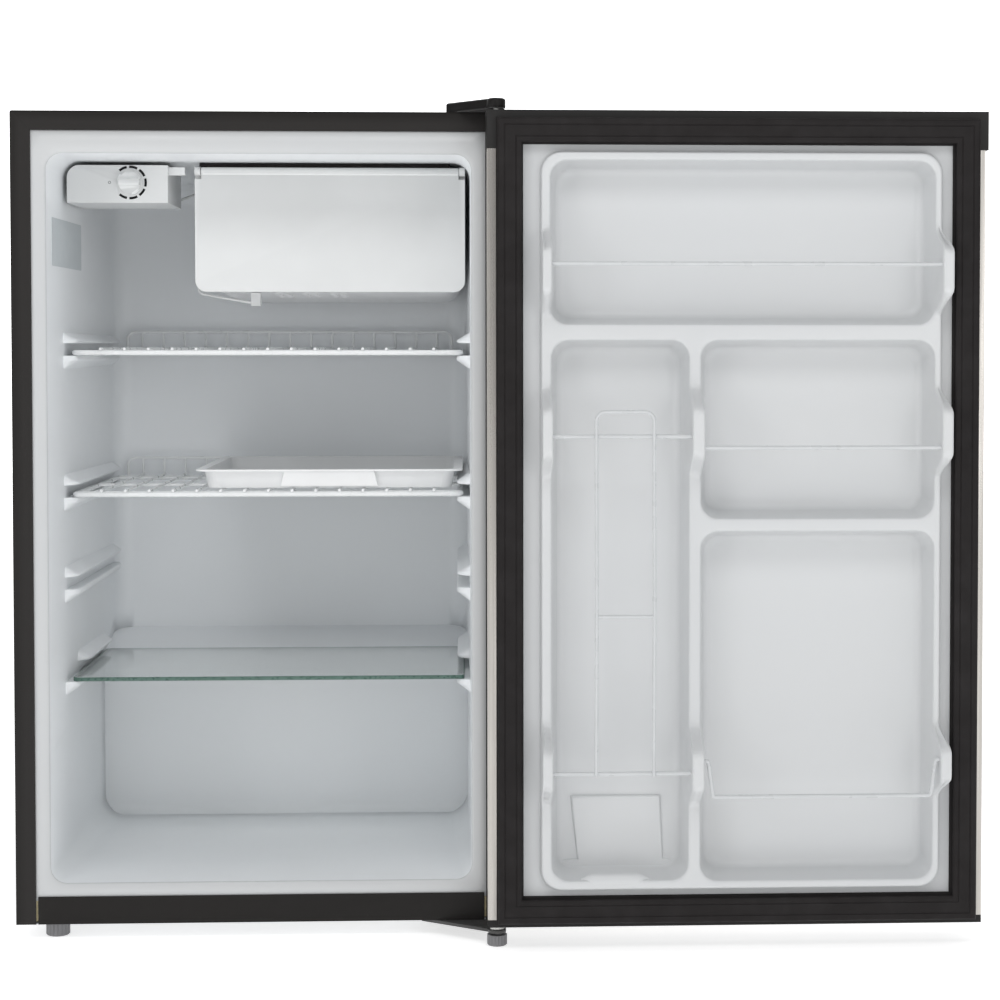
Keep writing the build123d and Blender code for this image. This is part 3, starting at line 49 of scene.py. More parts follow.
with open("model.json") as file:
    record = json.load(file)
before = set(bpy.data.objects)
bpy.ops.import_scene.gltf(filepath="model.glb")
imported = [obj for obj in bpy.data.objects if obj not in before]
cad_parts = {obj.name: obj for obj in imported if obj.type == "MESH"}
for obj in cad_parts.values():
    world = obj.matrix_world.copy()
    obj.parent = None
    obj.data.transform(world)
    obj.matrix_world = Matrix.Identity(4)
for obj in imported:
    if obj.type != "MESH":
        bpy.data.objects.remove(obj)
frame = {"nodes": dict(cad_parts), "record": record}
cad_low, cad_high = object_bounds()
NODES = frame["nodes"]
MM = 0.001


# ================================================================== mesh helpers
def make_piece(name, verts, faces, material, body, slot, smooth=35.0):
    """A mesh piece that rides on a body."""
    mesh = bpy.data.meshes.new(name)
    mesh.from_pydata([tuple(v) for v in verts], [], faces)
    mesh.validate()
    obj = bpy.data.objects.new(name, mesh)
    bpy.context.scene.collection.objects.link(obj)
    tidy_normals(obj)
    mesh.materials.append(material)
    shade(obj, smooth)
    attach(obj, body)
    return obj


def tidy_normals(obj):
    """Join doubled points and turn every face outwards."""
    work = bmesh.new()
    work.from_mesh(obj.data)
    bmesh.ops.remove_doubles(work, verts=work.verts, dist=1e-6)
    bmesh.ops.recalc_face_normals(work, faces=work.faces)
    work.to_mesh(obj.data)
    work.free()


def shade(obj, angle):
    """Smooth shading that keeps edges sharper than the angle."""
    obj.data.shade_smooth()
    obj.data.set_sharp_from_angle(angle=math.radians(angle))


def soften(obj, width, segments=2, limit=35.0):
    """Round a piece's sharp edges with modifiers, leaving its own mesh alone."""
    weld = obj.modifiers.new("weld", "WELD")
    weld.merge_threshold = 1e-6
    flat = obj.modifiers.new("flat", "DECIMATE")
    flat.decimate_type = "DISSOLVE"
    flat.angle_limit = math.radians(1.0)
    bevel = obj.modifiers.new("bevel", "BEVEL")
    bevel.width = width
    bevel.segments = segments
    bevel.limit_method = "ANGLE"
    bevel.angle_limit = math.radians(limit)
    bevel.harden_normals = True
    return obj


def rounded_loop(x0, x1, z0, z1, radius, arc, sides):
    """Points round a rounded rectangle: arc steps in a corner, and (across, up) steps on its sides."""
    radius = max(radius, 0.5 * MM)
    points = []
    corners = [
        (x1 - radius, z1 - radius, 0.0),
        (x0 + radius, z1 - radius, 90.0),
        (x0 + radius, z0 + radius, 180.0),
        (x1 - radius, z0 + radius, 270.0),
    ]
    across, up = sides
    for index, (cx, cz, start) in enumerate(corners):
        for k in range(arc + 1):
            angle = math.radians(start + 90.0 * k / arc)
            points.append((cx + radius * math.cos(angle), cz + radius * math.sin(angle)))
        ax, az = points[-1]
        nx, nz, turn = corners[(index + 1) % 4]
        turn = math.radians(turn)
        bx, bz = nx + radius * math.cos(turn), nz + radius * math.sin(turn)
        count = across if index % 2 == 0 else up
        for k in range(1, count):
            share = k / count
            points.append((ax + (bx - ax) * share, az + (bz - az) * share))
    return points


def bridge(faces, first, second, count):
    """Quads between two loops of vertices that start at the given indices."""
    for k in range(count):
        after = (k + 1) % count
        faces.append((first + k, first + after, second + after, second + k))


def cap_ends(faces, count, last):
    """Close the first loop and the loop that starts at the index last."""
    faces.append(tuple(range(count)))
    faces.append(tuple(range(last + count - 1, last - 1, -1)))


def quarter_turn(steps):
    """The sine and cosine at even steps from 0 to 90 degrees."""
    pairs = []
    for k in range(steps + 1):
        angle = math.radians(90.0 * k / steps)
        pairs.append((math.sin(angle), math.cos(angle)))
    return pairs


def round_polygon(points, radii, arc=5):
    """A polygon with each corner replaced by an arc of its own radius."""
    made = []
    count = len(points)
    for index, (point, radius) in enumerate(zip(points, radii)):
        here = Vector(point)
        back = (Vector(points[index - 1]) - here).normalized()
        ahead = (Vector(points[(index + 1) % count]) - here).normalized()
        if radius <= 0:
            made.append(tuple(here))
            continue
        half = back.angle(ahead) / 2
        reach = radius / math.tan(half)
        start, end = here + back * reach, here + ahead * reach
        centre = here + (back + ahead).normalized() * (radius / math.sin(half))
        a, b = start - centre, end - centre
        turn = a.angle_signed(b)
        for k in range(arc + 1):
            angle = -turn * k / arc
            cos, sin = math.cos(angle), math.sin(angle)
            made.append((centre.x + a.x * cos - a.y * sin, centre.y + a.x * sin + a.y * cos))
    return made


def prism_x(outline, x0, x1):
    """A (y, z) outline run along X, closed at both ends."""
    count = len(outline)
    verts = [(x0, y, z) for y, z in outline] + [(x1, y, z) for y, z in outline]
    faces = []
    cap_ends(faces, count, count)
    bridge(faces, 0, count, count)
    return verts, faces


def block(x0, x1, y0, y1, z0, z1):
    """A plain block's eight corners and six faces."""
    verts = []
    for y in (y0, y1):
        for x, z in ((x0, z0), (x1, z0), (x1, z1), (x0, z1)):
            verts.append((x, y, z))
    faces = [(0, 1, 2, 3), (7, 6, 5, 4), (0, 4, 5, 1), (1, 5, 6, 2), (2, 6, 7, 3), (3, 7, 4, 0)]
    return verts, faces


def merge(parts):
    """Several (verts, faces) as one."""
    verts, faces = [], []
    for part_verts, part_faces in parts:
        base = len(verts)
        verts += list(part_verts)
        faces += [tuple(i + base for i in face) for face in part_faces]
    return verts, faces


# ================================================================== materials
class Paint:
    """One procedural material under construction."""

    def __init__(self, name, colour, roughness, metallic=0.0):
        self.material = bpy.data.materials.new(name)
        self.material.use_nodes = True
        self.tree = self.material.node_tree
        self.shader = self.tree.nodes["Principled BSDF"]
        self.shader.inputs["Base Color"].default_value = (*colour, 1.0)
        self.shader.inputs["Roughness"].default_value = roughness
        self.shader.inputs["Metallic"].default_value = metallic
        self.colour = colour
        self.roughness = roughness
        coordinates = self.tree.nodes.new("ShaderNodeTexCoord")
        self.place = coordinates.outputs["Object"]

    def link(self, start, end):
        self.tree.links.new(start, end)

    def noise(self, scale, detail=3.0, stretch=(1, 1, 1), rough=0.5):
        """A noise texture's value; stretch squeezes it along an axis."""
        mapping = self.tree.nodes.new("ShaderNodeMapping")
        mapping.inputs["Scale"].default_value = stretch
        self.link(self.place, mapping.inputs["Vector"])
        texture = self.tree.nodes.new("ShaderNodeTexNoise")
        texture.inputs["Scale"].default_value = scale
        texture.inputs["Detail"].default_value = detail
        texture.inputs["Roughness"].default_value = rough
        self.link(mapping.outputs["Vector"], texture.inputs["Vector"])
        return texture.outputs["Fac"]

    def spread(self, value, low, high, start=0.3, end=0.7):
        """Map a texture's value onto a range."""
        node = self.tree.nodes.new("ShaderNodeMapRange")
        node.inputs["From Min"].default_value = start
        node.inputs["From Max"].default_value = end
        node.inputs["To Min"].default_value = low
        node.inputs["To Max"].default_value = high
        self.link(value, node.inputs["Value"])
        return node.outputs["Result"]

    def vary_colour(self, value, darker):
        """Blend from the base colour to a darker or tinted one."""
        mix = self.tree.nodes.new("ShaderNodeMix")
        mix.data_type = "RGBA"
        mix.inputs[6].default_value = (*self.colour, 1.0)
        mix.inputs[7].default_value = (*darker, 1.0)
        self.link(value, mix.inputs[0])
        self.link(mix.outputs[2], self.shader.inputs["Base Color"])
        return mix

    def vary_roughness(self, value, amount):
        """Let the roughness wander by an amount each way."""
        low, high = self.roughness - amount, self.roughness + amount
        self.link(self.spread(value, low, high), self.shader.inputs["Roughness"])

    def bump(self, value, height, strength=1.0, under=None):
        """Add relief, on top of another bump if one is given."""
        node = self.tree.nodes.new("ShaderNodeBump")
        node.inputs["Strength"].default_value = strength
        node.inputs["Distance"].default_value = height
        self.link(value, node.inputs["Height"])
        if under is not None:
            self.link(under, node.inputs["Normal"])
        self.link(node.outputs["Normal"], self.shader.inputs["Normal"])
        return node.outputs["Normal"]

    def worn_edges(self, mix_node, lighter, low=0.52, high=0.6):
        """Edges rub to a lighter colour."""
        geometry = self.tree.nodes.new("ShaderNodeNewGeometry")
        edge = self.spread(geometry.outputs["Pointiness"], 0.0, 1.0, low, high)
        mix = self.tree.nodes.new("ShaderNodeMix")
        mix.data_type = "RGBA"
        mix.inputs[7].default_value = (*lighter, 1.0)
        self.link(edge, mix.inputs[0])
        self.link(mix_node.outputs[2], mix.inputs[6])
        self.link(mix.outputs[2], self.shader.inputs["Base Color"])


def formed_sheet(name, colour, shade_colour):
    """Vacuum-formed white sheet: soft gloss, faint orange peel, slow unevenness."""
    paint = Paint(name, colour, 0.34)
    slow = paint.noise(3.0, 2.0)
    paint.vary_colour(paint.spread(slow, 0.0, 1.0), shade_colour)
    paint.vary_roughness(paint.noise(45.0, 4.0), 0.06)
    waves = paint.bump(paint.noise(28.0, 1.0), 0.35 * MM, 0.25)
    paint.bump(paint.noise(700.0, 2.0), 0.05 * MM, 0.5, waves)
    paint.shader.inputs["Specular IOR Level"].default_value = 0.38
    return paint.material


def moulded(name, colour, roughness=0.42, grain=1500.0, height=0.05, gloss=0.4):
    """Injection-moulded plastic with a fine spark grain."""
    paint = Paint(name, colour, roughness)
    paint.shader.inputs["Specular IOR Level"].default_value = gloss
    darker = tuple(0.93 * c for c in colour)
    lighter = tuple(min(1.0, 1.25 * c + 0.02) for c in colour)
    mix = paint.vary_colour(paint.spread(paint.noise(12.0, 3.0), 0.0, 1.0), darker)
    paint.worn_edges(mix, lighter)
    paint.vary_roughness(paint.noise(60.0, 3.0), 0.05)
    paint.bump(paint.noise(grain, 2.0), height * MM, 0.6)
    return paint.material


def painted_black(name):
    """Baked black paint with the fine pebble texture of appliance panels."""
    paint = Paint(name, (0.0065, 0.0058, 0.005), 0.42)
    paint.shader.inputs["Specular IOR Level"].default_value = 0.16
    mix = paint.vary_colour(paint.spread(paint.noise(8.0, 3.0), 0.0, 1.0), (0.009, 0.008, 0.007))
    paint.worn_edges(mix, (0.025, 0.023, 0.022), 0.53, 0.62)
    paint.vary_roughness(paint.noise(25.0, 4.0), 0.015)
    cells = paint.tree.nodes.new("ShaderNodeTexVoronoi")
    cells.inputs["Scale"].default_value = 750.0
    cells.feature = "SMOOTH_F1"
    paint.link(paint.place, cells.inputs["Vector"])
    pebble = paint.bump(cells.outputs["Distance"], 0.10 * MM, 0.45)
    paint.bump(paint.noise(18.0, 2.0), 0.06 * MM, 0.1, pebble)
    return paint.material


def brushed(name, colour, roughness=0.30):
    """Brushed stainless steel with an upright grain."""
    paint = Paint(name, colour, roughness, 1.0)
    streaks = paint.noise(260.0, 5.0, (1.0, 1.0, 0.012), 0.65)
    paint.vary_colour(paint.spread(streaks, 0.0, 1.0), tuple(0.82 * c for c in colour))
    paint.vary_roughness(streaks, 0.09)
    slow = paint.bump(paint.noise(6.0, 2.0), 0.4 * MM, 0.08)
    paint.bump(streaks, 0.03 * MM, 0.5, slow)
    paint.shader.inputs["Anisotropic"].default_value = 0.6
    return paint.material


def rubber(name, colour):
    """Matt flexible seal with dust in its grain."""
    paint = Paint(name, colour, 0.62)
    paint.shader.inputs["Specular IOR Level"].default_value = 0.18
    dust = tuple(c + 0.006 for c in colour)
    paint.vary_colour(paint.spread(paint.noise(35.0, 5.0), 0.0, 1.0, 0.45, 0.8), dust)
    paint.vary_roughness(paint.noise(80.0, 3.0), 0.08)
    paint.bump(paint.noise(900.0, 2.0), 0.06 * MM, 0.5)
    return paint.material


def dipped_wire(name, colour):
    """Steel wire under a thick white dipped coating, with slight runs."""
    paint = Paint(name, colour, 0.30)
    paint.vary_colour(paint.spread(paint.noise(40.0, 3.0), 0.0, 1.0), tuple(0.94 * c for c in colour))
    paint.vary_roughness(paint.noise(60.0, 2.0), 0.05)
    paint.bump(paint.noise(90.0, 1.0), 0.04 * MM, 0.25)
    return paint.material


def plain_metal(name, colour, roughness=0.35, streak=(1, 1, 1), scale=180.0):
    """Bare or plated metal with a mottled finish."""
    paint = Paint(name, colour, roughness, 1.0)
    mottle = paint.noise(scale, 5.0, streak)
    paint.vary_colour(paint.spread(mottle, 0.0, 1.0), tuple(0.8 * c for c in colour))
    paint.vary_roughness(mottle, 0.1)
    paint.bump(mottle, 0.04 * MM, 0.5)
    return paint.material


def lacquered(name, colour, roughness=0.4):
    """Painted sheet metal with a soft roll texture."""
    paint = Paint(name, colour, roughness)
    mix = paint.vary_colour(paint.spread(paint.noise(10.0, 3.0), 0.0, 1.0), tuple(0.9 * c for c in colour))
    paint.worn_edges(mix, tuple(min(1.0, c + 0.08) for c in colour))
    paint.vary_roughness(paint.noise(70.0, 4.0), 0.06)
    paint.bump(paint.noise(350.0, 2.0), 0.06 * MM, 0.4)
    return paint.material


def spangled(name):
    """Galvanised sheet with zinc spangle."""
    paint = Paint(name, (0.45, 0.46, 0.47), 0.42, 0.85)
    cells = paint.tree.nodes.new("ShaderNodeTexVoronoi")
    cells.inputs["Scale"].default_value = 90.0
    paint.link(paint.place, cells.inputs["Vector"])
    paint.vary_colour(paint.spread(cells.outputs["Distance"], 0.0, 1.0, 0.0, 0.8), (0.33, 0.34, 0.35))
    paint.vary_roughness(paint.noise(90.0, 3.0), 0.1)
    paint.bump(cells.outputs["Distance"], 0.03 * MM, 0.3)
    return paint.material


def clear_glass(name):
    """Toughened glass, faintly green."""
    paint = Paint(name, (0.965, 0.99, 0.98), 0.03)
    paint.shader.inputs["Transmission Weight"].default_value = 0.97
    paint.shader.inputs["IOR"].default_value = 1.5
    paint.vary_roughness(paint.noise(50.0, 3.0), 0.02)
    paint.bump(paint.noise(14.0, 1.0), 0.05 * MM, 0.1)
    return paint.material


def green_edge(name):
    """The ground edge of the glass, where its tint adds up."""
    paint = Paint(name, (0.10, 0.19, 0.155), 0.3)
    paint.shader.inputs["Transmission Weight"].default_value = 0.15
    paint.vary_colour(paint.spread(paint.noise(120.0, 3.0), 0.0, 1.0), (0.075, 0.15, 0.12))
    paint.vary_roughness(paint.noise(300.0, 2.0), 0.06)
    paint.bump(paint.noise(500.0, 2.0), 0.03 * MM, 0.4)
    return paint.material


def rigid_foam(name):
    """Cut insulation foam."""
    paint = Paint(name, (0.75, 0.66, 0.42), 0.9)
    cells = paint.noise(420.0, 4.0)
    paint.vary_colour(paint.spread(cells, 0.0, 1.0), (0.60, 0.52, 0.32))
    paint.bump(cells, 0.4 * MM, 0.8)
    return paint.material


MATERIALS = {
    "black_steel": painted_black("black_steel"),
    "stainless": brushed("stainless", (0.56, 0.535, 0.50)),
    "white_liner": formed_sheet("white_liner", (0.895, 0.915, 0.93), (0.88, 0.905, 0.925)),
    "white_moulding": moulded("white_moulding", (0.655, 0.665, 0.665)),
    "black_moulding": moulded("black_moulding", (0.007, 0.0062, 0.0058), 0.42, 1100.0, 0.07, 0.18),
    "seal_black": rubber("seal_black", (0.0145, 0.0125, 0.0125)),
    "white_wire": dipped_wire("white_wire", (0.83, 0.845, 0.85)),
    "clear_glass": clear_glass("clear_glass"),
    "bare_aluminium": lacquered("bare_aluminium", (0.88, 0.885, 0.89), 0.36),
    "zinc_steel": plain_metal("zinc_steel", (0.62, 0.62, 0.60)),
    "bracket_steel": lacquered("bracket_steel", (0.045, 0.044, 0.043), 0.45),
    "grey_moulding": moulded("grey_moulding", (0.16, 0.16, 0.165), 0.5),
    "pot_black": lacquered("pot_black", (0.012, 0.012, 0.012), 0.22),
    "copper": plain_metal("copper", (0.72, 0.38, 0.24), 0.3, (1, 1, 0.2), 90.0),
    "soft_rubber": rubber("soft_rubber", (0.018, 0.018, 0.018)),
    "insulation": rigid_foam("insulation"),
    "galvanised": spangled("galvanised"),
    "magnet": rubber("magnet", (0.03, 0.026, 0.024)),
}
# Painted shade: a darker copy of the white liner sheet for the door, which the lamps light more strongly
# than the compartment.
DOOR_WHITE_PAINTED_SHADE = formed_sheet("door_white_painted_shade", (0.635, 0.645, 0.65), (0.625, 0.638, 0.648))
# Painted shade: a darker copy of the white liner sheet for the compartment's front flange and rounded
# mouth, which tones down the highlight that the lip catches.
FLANGE_WHITE_PAINTED_SHADE = formed_sheet("flange_white_painted_shade", (0.58, 0.59, 0.595), (0.57, 0.583, 0.592))
# Painted shade: a darker copy of the white dipped wire for the door's racks, which are lit more strongly
# than the shelves.
DOOR_WIRE_PAINTED_SHADE = dipped_wire("door_wire_painted_shade", (0.60, 0.615, 0.625))
TRAY_WHITE = moulded("tray_white", (0.82, 0.83, 0.835))
GREEN_EDGE = green_edge("green_edge")
LABEL_GREY = lacquered("label_grey", (0.56, 0.60, 0.62), 0.5)
PRINT_BLACK = rubber("print_black", (0.004, 0.004, 0.005))
SEAM_GREY = rubber("seam_grey", (0.022, 0.021, 0.02))
PRINT_GREY = rubber("print_grey", (0.10, 0.105, 0.11))


def dress_cad_nodes():
    """Every CAD node takes its slot's material or its own paint, and the listed ones get their hard edges
    softened.
    """
    bevels = {
        "outer_wrap": 0.5,
        "front_bottom_rail": 0.4,
        "base_plate": 0.3,
        "rear_panel": 0.4,
        "freezer_front_frame": 0.7,
        "thermostat_housing": 0.9,
        "thermostat_knob": 0.35,
        "freezer_flap": 0.7,
        "door_skin": 0.3,
        "door_top_cap": 1.0,
        "door_bottom_cap": 0.8,
        "top_hinge_cover": 0.7,
        "top_hinge_bracket": 0.4,
        "bottom_hinge_bracket": 0.5,
        "bottom_hinge_pin": 0.3,
        "terminal_cover": 0.6,
        "cord_gland": 0.4,
        "drip_tray": 0.5,
        "door_stop": 0.6,
        "sensor_clamp": 0.4,
    }
    own_paint = {
        "drip_tray": TRAY_WHITE,
        # Painted shade: the door's rack bars take the darker copy of the white wire.
        "top_rack_bar": DOOR_WIRE_PAINTED_SHADE,
        "middle_rack_bar": DOOR_WIRE_PAINTED_SHADE,
        "low_rack_bar": DOOR_WIRE_PAINTED_SHADE,
        "can_rack": DOOR_WIRE_PAINTED_SHADE,
    }
    for row in frame["record"]["subparts"]:
        obj = NODES[row["node"]]
        obj.data.materials.clear()
        obj.data.materials.append(own_paint.get(row["node"], MATERIALS[row["material_slot"]]))
        if row["node"] in bevels:
            soften(obj, bevels[row["node"]] * MM)


# ================================================================== cabinet liner
SKIN_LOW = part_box("door_skin")[0]
WRAP_LOW, WRAP_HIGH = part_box("outer_wrap")
LINER_LOW, LINER_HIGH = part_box("inner_liner")
MIDDLE = (WRAP_LOW.x + WRAP_HIGH.x) / 2
FRONT = WRAP_LOW.y
CAVITY_HALF_FRONT = 212 * MM
CAVITY_HALF_BACK = 207 * MM
CAVITY_BOTTOM = 57 * MM
CAVITY_TOP = 791 * MM
CAVITY_DRAFT = 5 * MM
CAVITY_BACK = FRONT + 415 * MM
MOUTH_WIDE = 8 * MM
MOUTH_DEEP = 3 * MM
BACK_ROUND = 22 * MM
LINER_SHEET = 1.3 * MM
FLANGE_CORNER = 3 * MM
CORNER_STEPS = 8
CAVITY_SIDES = (12, 24)


def cavity_share(y):
    """How far back a place is: 0 at the liner's front, 1 at its back wall."""
    return (y - LINER_LOW.y) / (CAVITY_BACK - LINER_LOW.y)


def cavity_half(y):
    """Half the compartment's width at a depth."""
    return CAVITY_HALF_FRONT + (CAVITY_HALF_BACK - CAVITY_HALF_FRONT) * cavity_share(y)


def cavity_at(y, inset):
    """The compartment's outline at a depth, drawn in by inset."""
    share = cavity_share(y)
    half = cavity_half(y) - inset
    low = CAVITY_BOTTOM + CAVITY_DRAFT * share + inset
    high = CAVITY_TOP - CAVITY_DRAFT * share - inset
    radius = (16 + 8 * share) * MM
    return rounded_loop(MIDDLE - half, MIDDLE + half, low, high, radius, CORNER_STEPS, CAVITY_SIDES)


def liner_tub():
    """Front flange, rounded mouth, drafted walls, rounded back corners."""
    y0 = LINER_LOW.y
    flange = rounded_loop(LINER_LOW.x, LINER_HIGH.x, LINER_LOW.z, LINER_HIGH.z,
                          FLANGE_CORNER, CORNER_STEPS, CAVITY_SIDES)
    rings = [(flange, y0)]
    round_steps, wall_steps = 6, 4
    for sine, cosine in quarter_turn(round_steps):
        y = y0 + MOUTH_DEEP * (1 - cosine)
        rings.append((cavity_at(y, -MOUTH_WIDE * (1 - sine)), y))
    wall_end = CAVITY_BACK - BACK_ROUND
    for k in range(1, wall_steps + 1):
        y = y0 + MOUTH_DEEP + (wall_end - y0 - MOUTH_DEEP) * k / wall_steps
        rings.append((cavity_at(y, 0), y))
    for sine, cosine in quarter_turn(round_steps)[1:]:
        y = wall_end + BACK_ROUND * sine
        rings.append((cavity_at(y, BACK_ROUND * (1 - cosine)), y))
    verts = [(x, y, z) for ring, y in rings for x, z in ring]
    count = len(flange)
    faces = []
    for k in range(len(rings) - 1):
        bridge(faces, k * count, (k + 1) * count, count)
    faces.append(tuple(range((len(rings) - 1) * count, len(rings) * count)))
    return verts, faces


HUMP_FRONT = FRONT + 328 * MM
HUMP_TOP_FRONT = 249 * MM
HUMP_TOP_BACK = 266 * MM
HUMP_FOOT = 22 * MM
HUMP_COVE = 14 * MM
HUMP_NOSE = 12 * MM


def liner_hump():
    """The step over the compressor, with a soft nose and a coved foot."""
    back = CAVITY_BACK + 1 * MM
    low = CAVITY_BOTTOM
    outline = round_polygon(
        [
            (HUMP_FRONT - HUMP_FOOT, low + 1 * MM),
            (HUMP_FRONT, low + 4.5 * MM),
            (HUMP_FRONT, HUMP_TOP_FRONT),
            (back, HUMP_TOP_BACK),
            (back, HUMP_TOP_BACK - LINER_SHEET),
            (HUMP_FRONT + LINER_SHEET, HUMP_TOP_FRONT - LINER_SHEET),
            (HUMP_FRONT + LINER_SHEET, low + 1 * MM),
        ],
        [0, HUMP_COVE, HUMP_NOSE, 0, 0, HUMP_NOSE - LINER_SHEET, 0],
    )
    half = CAVITY_HALF_BACK + 1.5 * MM
    return prism_x(outline, MIDDLE - half, MIDDLE + half)


# Each pair of ribs: the ledge's height, and where it starts and ends behind the cabinet's front.
SHELF_RIBS = {
    "upper": (588.5 * MM, 90 * MM, 400 * MM),
    "lower": (440.5 * MM, 90 * MM, 400 * MM),
    "spare": (344.5 * MM, 90 * MM, 400 * MM),
    "glass": (247.8 * MM, 90 * MM, 329 * MM),
}
RIB_REACH = 197 * MM
RIB_SLOT = 13 * MM
UPPER_RIB = 11 * MM
LOWER_RIB = 14 * MM
RIB_TAPER = 16 * MM
RIB_EDGE = 2.2 * MM
GLASS_UPPER_RIB_LATE = 70 * MM


def liner_rib(side, ledge, start, end, upper):
    """One pressed shelf rib: rounded, and faired into the wall at both ends."""
    wall = CAVITY_HALF_FRONT + 1 * MM
    reach = wall - RIB_REACH
    root = 0.18 * reach
    if upper:
        z = ledge + RIB_SLOT
        section = [(0, z), (reach, z), (reach, z + 3 * MM), (root, z + UPPER_RIB), (0, z + UPPER_RIB)]
        ledge_edge = RIB_EDGE
    else:
        z = ledge
        section = [(0, z - LOWER_RIB), (root, z - LOWER_RIB), (reach, z - 5 * MM), (reach, z), (0, z)]
        ledge_edge = 1.6 * MM
    section = round_polygon(section, [0, RIB_EDGE, RIB_EDGE, ledge_edge, 0], 4)
    stations = []
    turn = quarter_turn(5)
    least = 0.08
    for sine, cosine in turn:
        stations.append((start + RIB_TAPER * (1 - cosine), sine * (1 - least) + least))
    for sine, cosine in reversed(turn):
        stations.append((end - RIB_TAPER * (1 - cosine), sine * (1 - least) + least))
    verts, faces = [], []
    count = len(section)
    for y, share in stations:
        for out, z in section:
            verts.append((MIDDLE + side * (wall - out * share), FRONT + y, z))
    for k in range(len(stations) - 1):
        bridge(faces, k * count, (k + 1) * count, count)
    cap_ends(faces, count, (len(stations) - 1) * count)
    return verts, faces


def cut_away_niche(tub):
    """Take out the part of the tub that the hump walls off, where the compressor stands."""
    overlap = 0.5 * MM
    behind = HUMP_FRONT + overlap
    slope = Vector((0, HUMP_TOP_FRONT - HUMP_TOP_BACK, CAVITY_BACK - HUMP_FRONT)).normalized()
    under = Vector((0, HUMP_FRONT, HUMP_TOP_FRONT - overlap))
    mesh = bmesh.new()
    mesh.from_mesh(tub.data)
    for point, normal in ((Vector((0, behind, 0)), Vector((0, 1, 0))), (under, slope)):
        everything = mesh.verts[:] + mesh.edges[:] + mesh.faces[:]
        bmesh.ops.bisect_plane(mesh, geom=everything, dist=1e-6, plane_co=point, plane_no=normal)
    walled_off = []
    for face in mesh.faces:
        middle = face.calc_center_median()
        if middle.y > behind and (middle - under).dot(slope) < 0:
            walled_off.append(face)
    bmesh.ops.delete(mesh, geom=walled_off, context="FACES")
    mesh.to_mesh(tub.data)
    mesh.free()


def build_cabinet_liner():
    """The white compartment: tub, shelf ribs and the step over the compressor."""
    white = MATERIALS["white_liner"]
    tub_verts, tub_faces = liner_tub()
    tub = make_piece("liner_tub", tub_verts, tub_faces, white, "cabinet", "white_liner", 40)
    cut_away_niche(tub)
    # Painted shade: the front flange and the rounded mouth take the darker copy of the white sheet.
    tub.data.materials.append(FLANGE_WHITE_PAINTED_SHADE)
    for face in tub.data.polygons:
        if face.center.y < LINER_LOW.y + MOUTH_DEEP:
            face.material_index = 1
    thick = tub.modifiers.new("thickness", "SOLIDIFY")
    thick.thickness = LINER_SHEET
    thick.offset = -1.0 if tub_faces_inward(tub) else 1.0
    ribs = []
    for name, (ledge, start, end) in SHELF_RIBS.items():
        for side in (-1, 1):
            for upper in (True, False):
                late = GLASS_UPPER_RIB_LATE if upper and name == "glass" else 0
                ribs.append(liner_rib(side, ledge, start + late, end, upper))
    make_piece("liner_ribs", *merge(ribs), white, "cabinet", "white_liner", 40)
    make_piece("liner_hump", *liner_hump(), white, "cabinet", "white_liner", 40)
    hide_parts("inner_liner")


def tub_faces_inward(tub):
    """Whether the tub's faces look into the compartment."""
    back = max(tub.data.polygons, key=lambda face: face.center.y)
    return back.normal.y < 0


# ================================================================== door liner
HINGE_EDGE = SKIN_LOW.x
DOOR_INNER = SKIN_LOW.y
EAR_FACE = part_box("door_liner")[0].y
RIM_FACE = DOOR_INNER - 12 * MM
RECESS_FACE = DOOR_INNER + 26 * MM
# Bins and the raised island: (u0, u1, z0, z1) in millimetres, u measured from the hinge side.
BINS = {
    "top": (62, 441, 620, 780),
    "column": (63, 198, 71, 604),
    "middle": (210, 441, 429, 604),
    "low": (210, 441, 70, 416),
}
BODY_OUTLINE = (52, 448.5, 61, 789)
BODY_CORNER = 20 * MM
LINER_FLANGE = (22, 471, 42, 808)
# The heights between which the rim rises into brackets that hold the wires' ends.
EAR_RUNS = {
    "hinge": ((629, 716), (469, 559), (146, 227)),
    "divider": ((469, 559), (146, 227)),
    "free": ((629, 716), (469, 559), (152, 227)),
}
EDGE_ROUND = 2.6 * MM
RIM_EDGE_INSET = EDGE_ROUND + 0.8 * MM
BIN_DRAFT = 5 * MM
BIN_FILLET = 9 * MM
BIN_CORNER = 17 * MM
EAR_SWELL = 4.2 * MM
EAR_SLOPE = 26.0
FREE_SIDE = 430
SHEET_GAP = 0.3 * MM


def smooth_step(value):
    """An S-curve from 0 to 1."""
    value = min(1.0, max(0.0, value))
    return value * value * (3 - 2 * value)


def rim_face(u, z):
    """How far out the liner's rim stands at a place: it rises into brackets beside the wires."""
    if u < 90:
        runs = EAR_RUNS["hinge"]
    elif u < 300:
        runs = EAR_RUNS["divider"] if 190 < u < 218 else ()
    else:
        runs = EAR_RUNS["free"] if u > FREE_SIDE else ()
    lift = 0.0
    for low, high in runs:
        rise, fall = smooth_step((z - low) / EAR_SLOPE), smooth_step((high - z) / EAR_SLOPE)
        lift = max(lift, min(rise, fall))
    return RIM_FACE + (EAR_FACE - RIM_FACE) * lift


def on_door(x, z):
    """A place in metres as (u, z) in millimetres."""
    return (x - HINGE_EDGE) / MM, z / MM


def ear_swell(u, z):
    """How far the free side's brackets bulge outwards from the island's wall."""
    if u < FREE_SIDE:
        return 0.0
    return EAR_SWELL * (RIM_FACE - rim_face(u, z)) / (RIM_FACE - EAR_FACE)


def swollen(ring):
    """A ring of the island's outer side with the brackets' bulges."""
    return [(x + ear_swell(*on_door(x, z)), y, z) for x, y, z in ring]


def side_steps(bounds):
    """How many steps a door outline takes along its sides."""
    u0, u1, z0, z1 = bounds
    return max(4, int((u1 - u0) / 12)), max(6, int((z1 - z0) / 4))


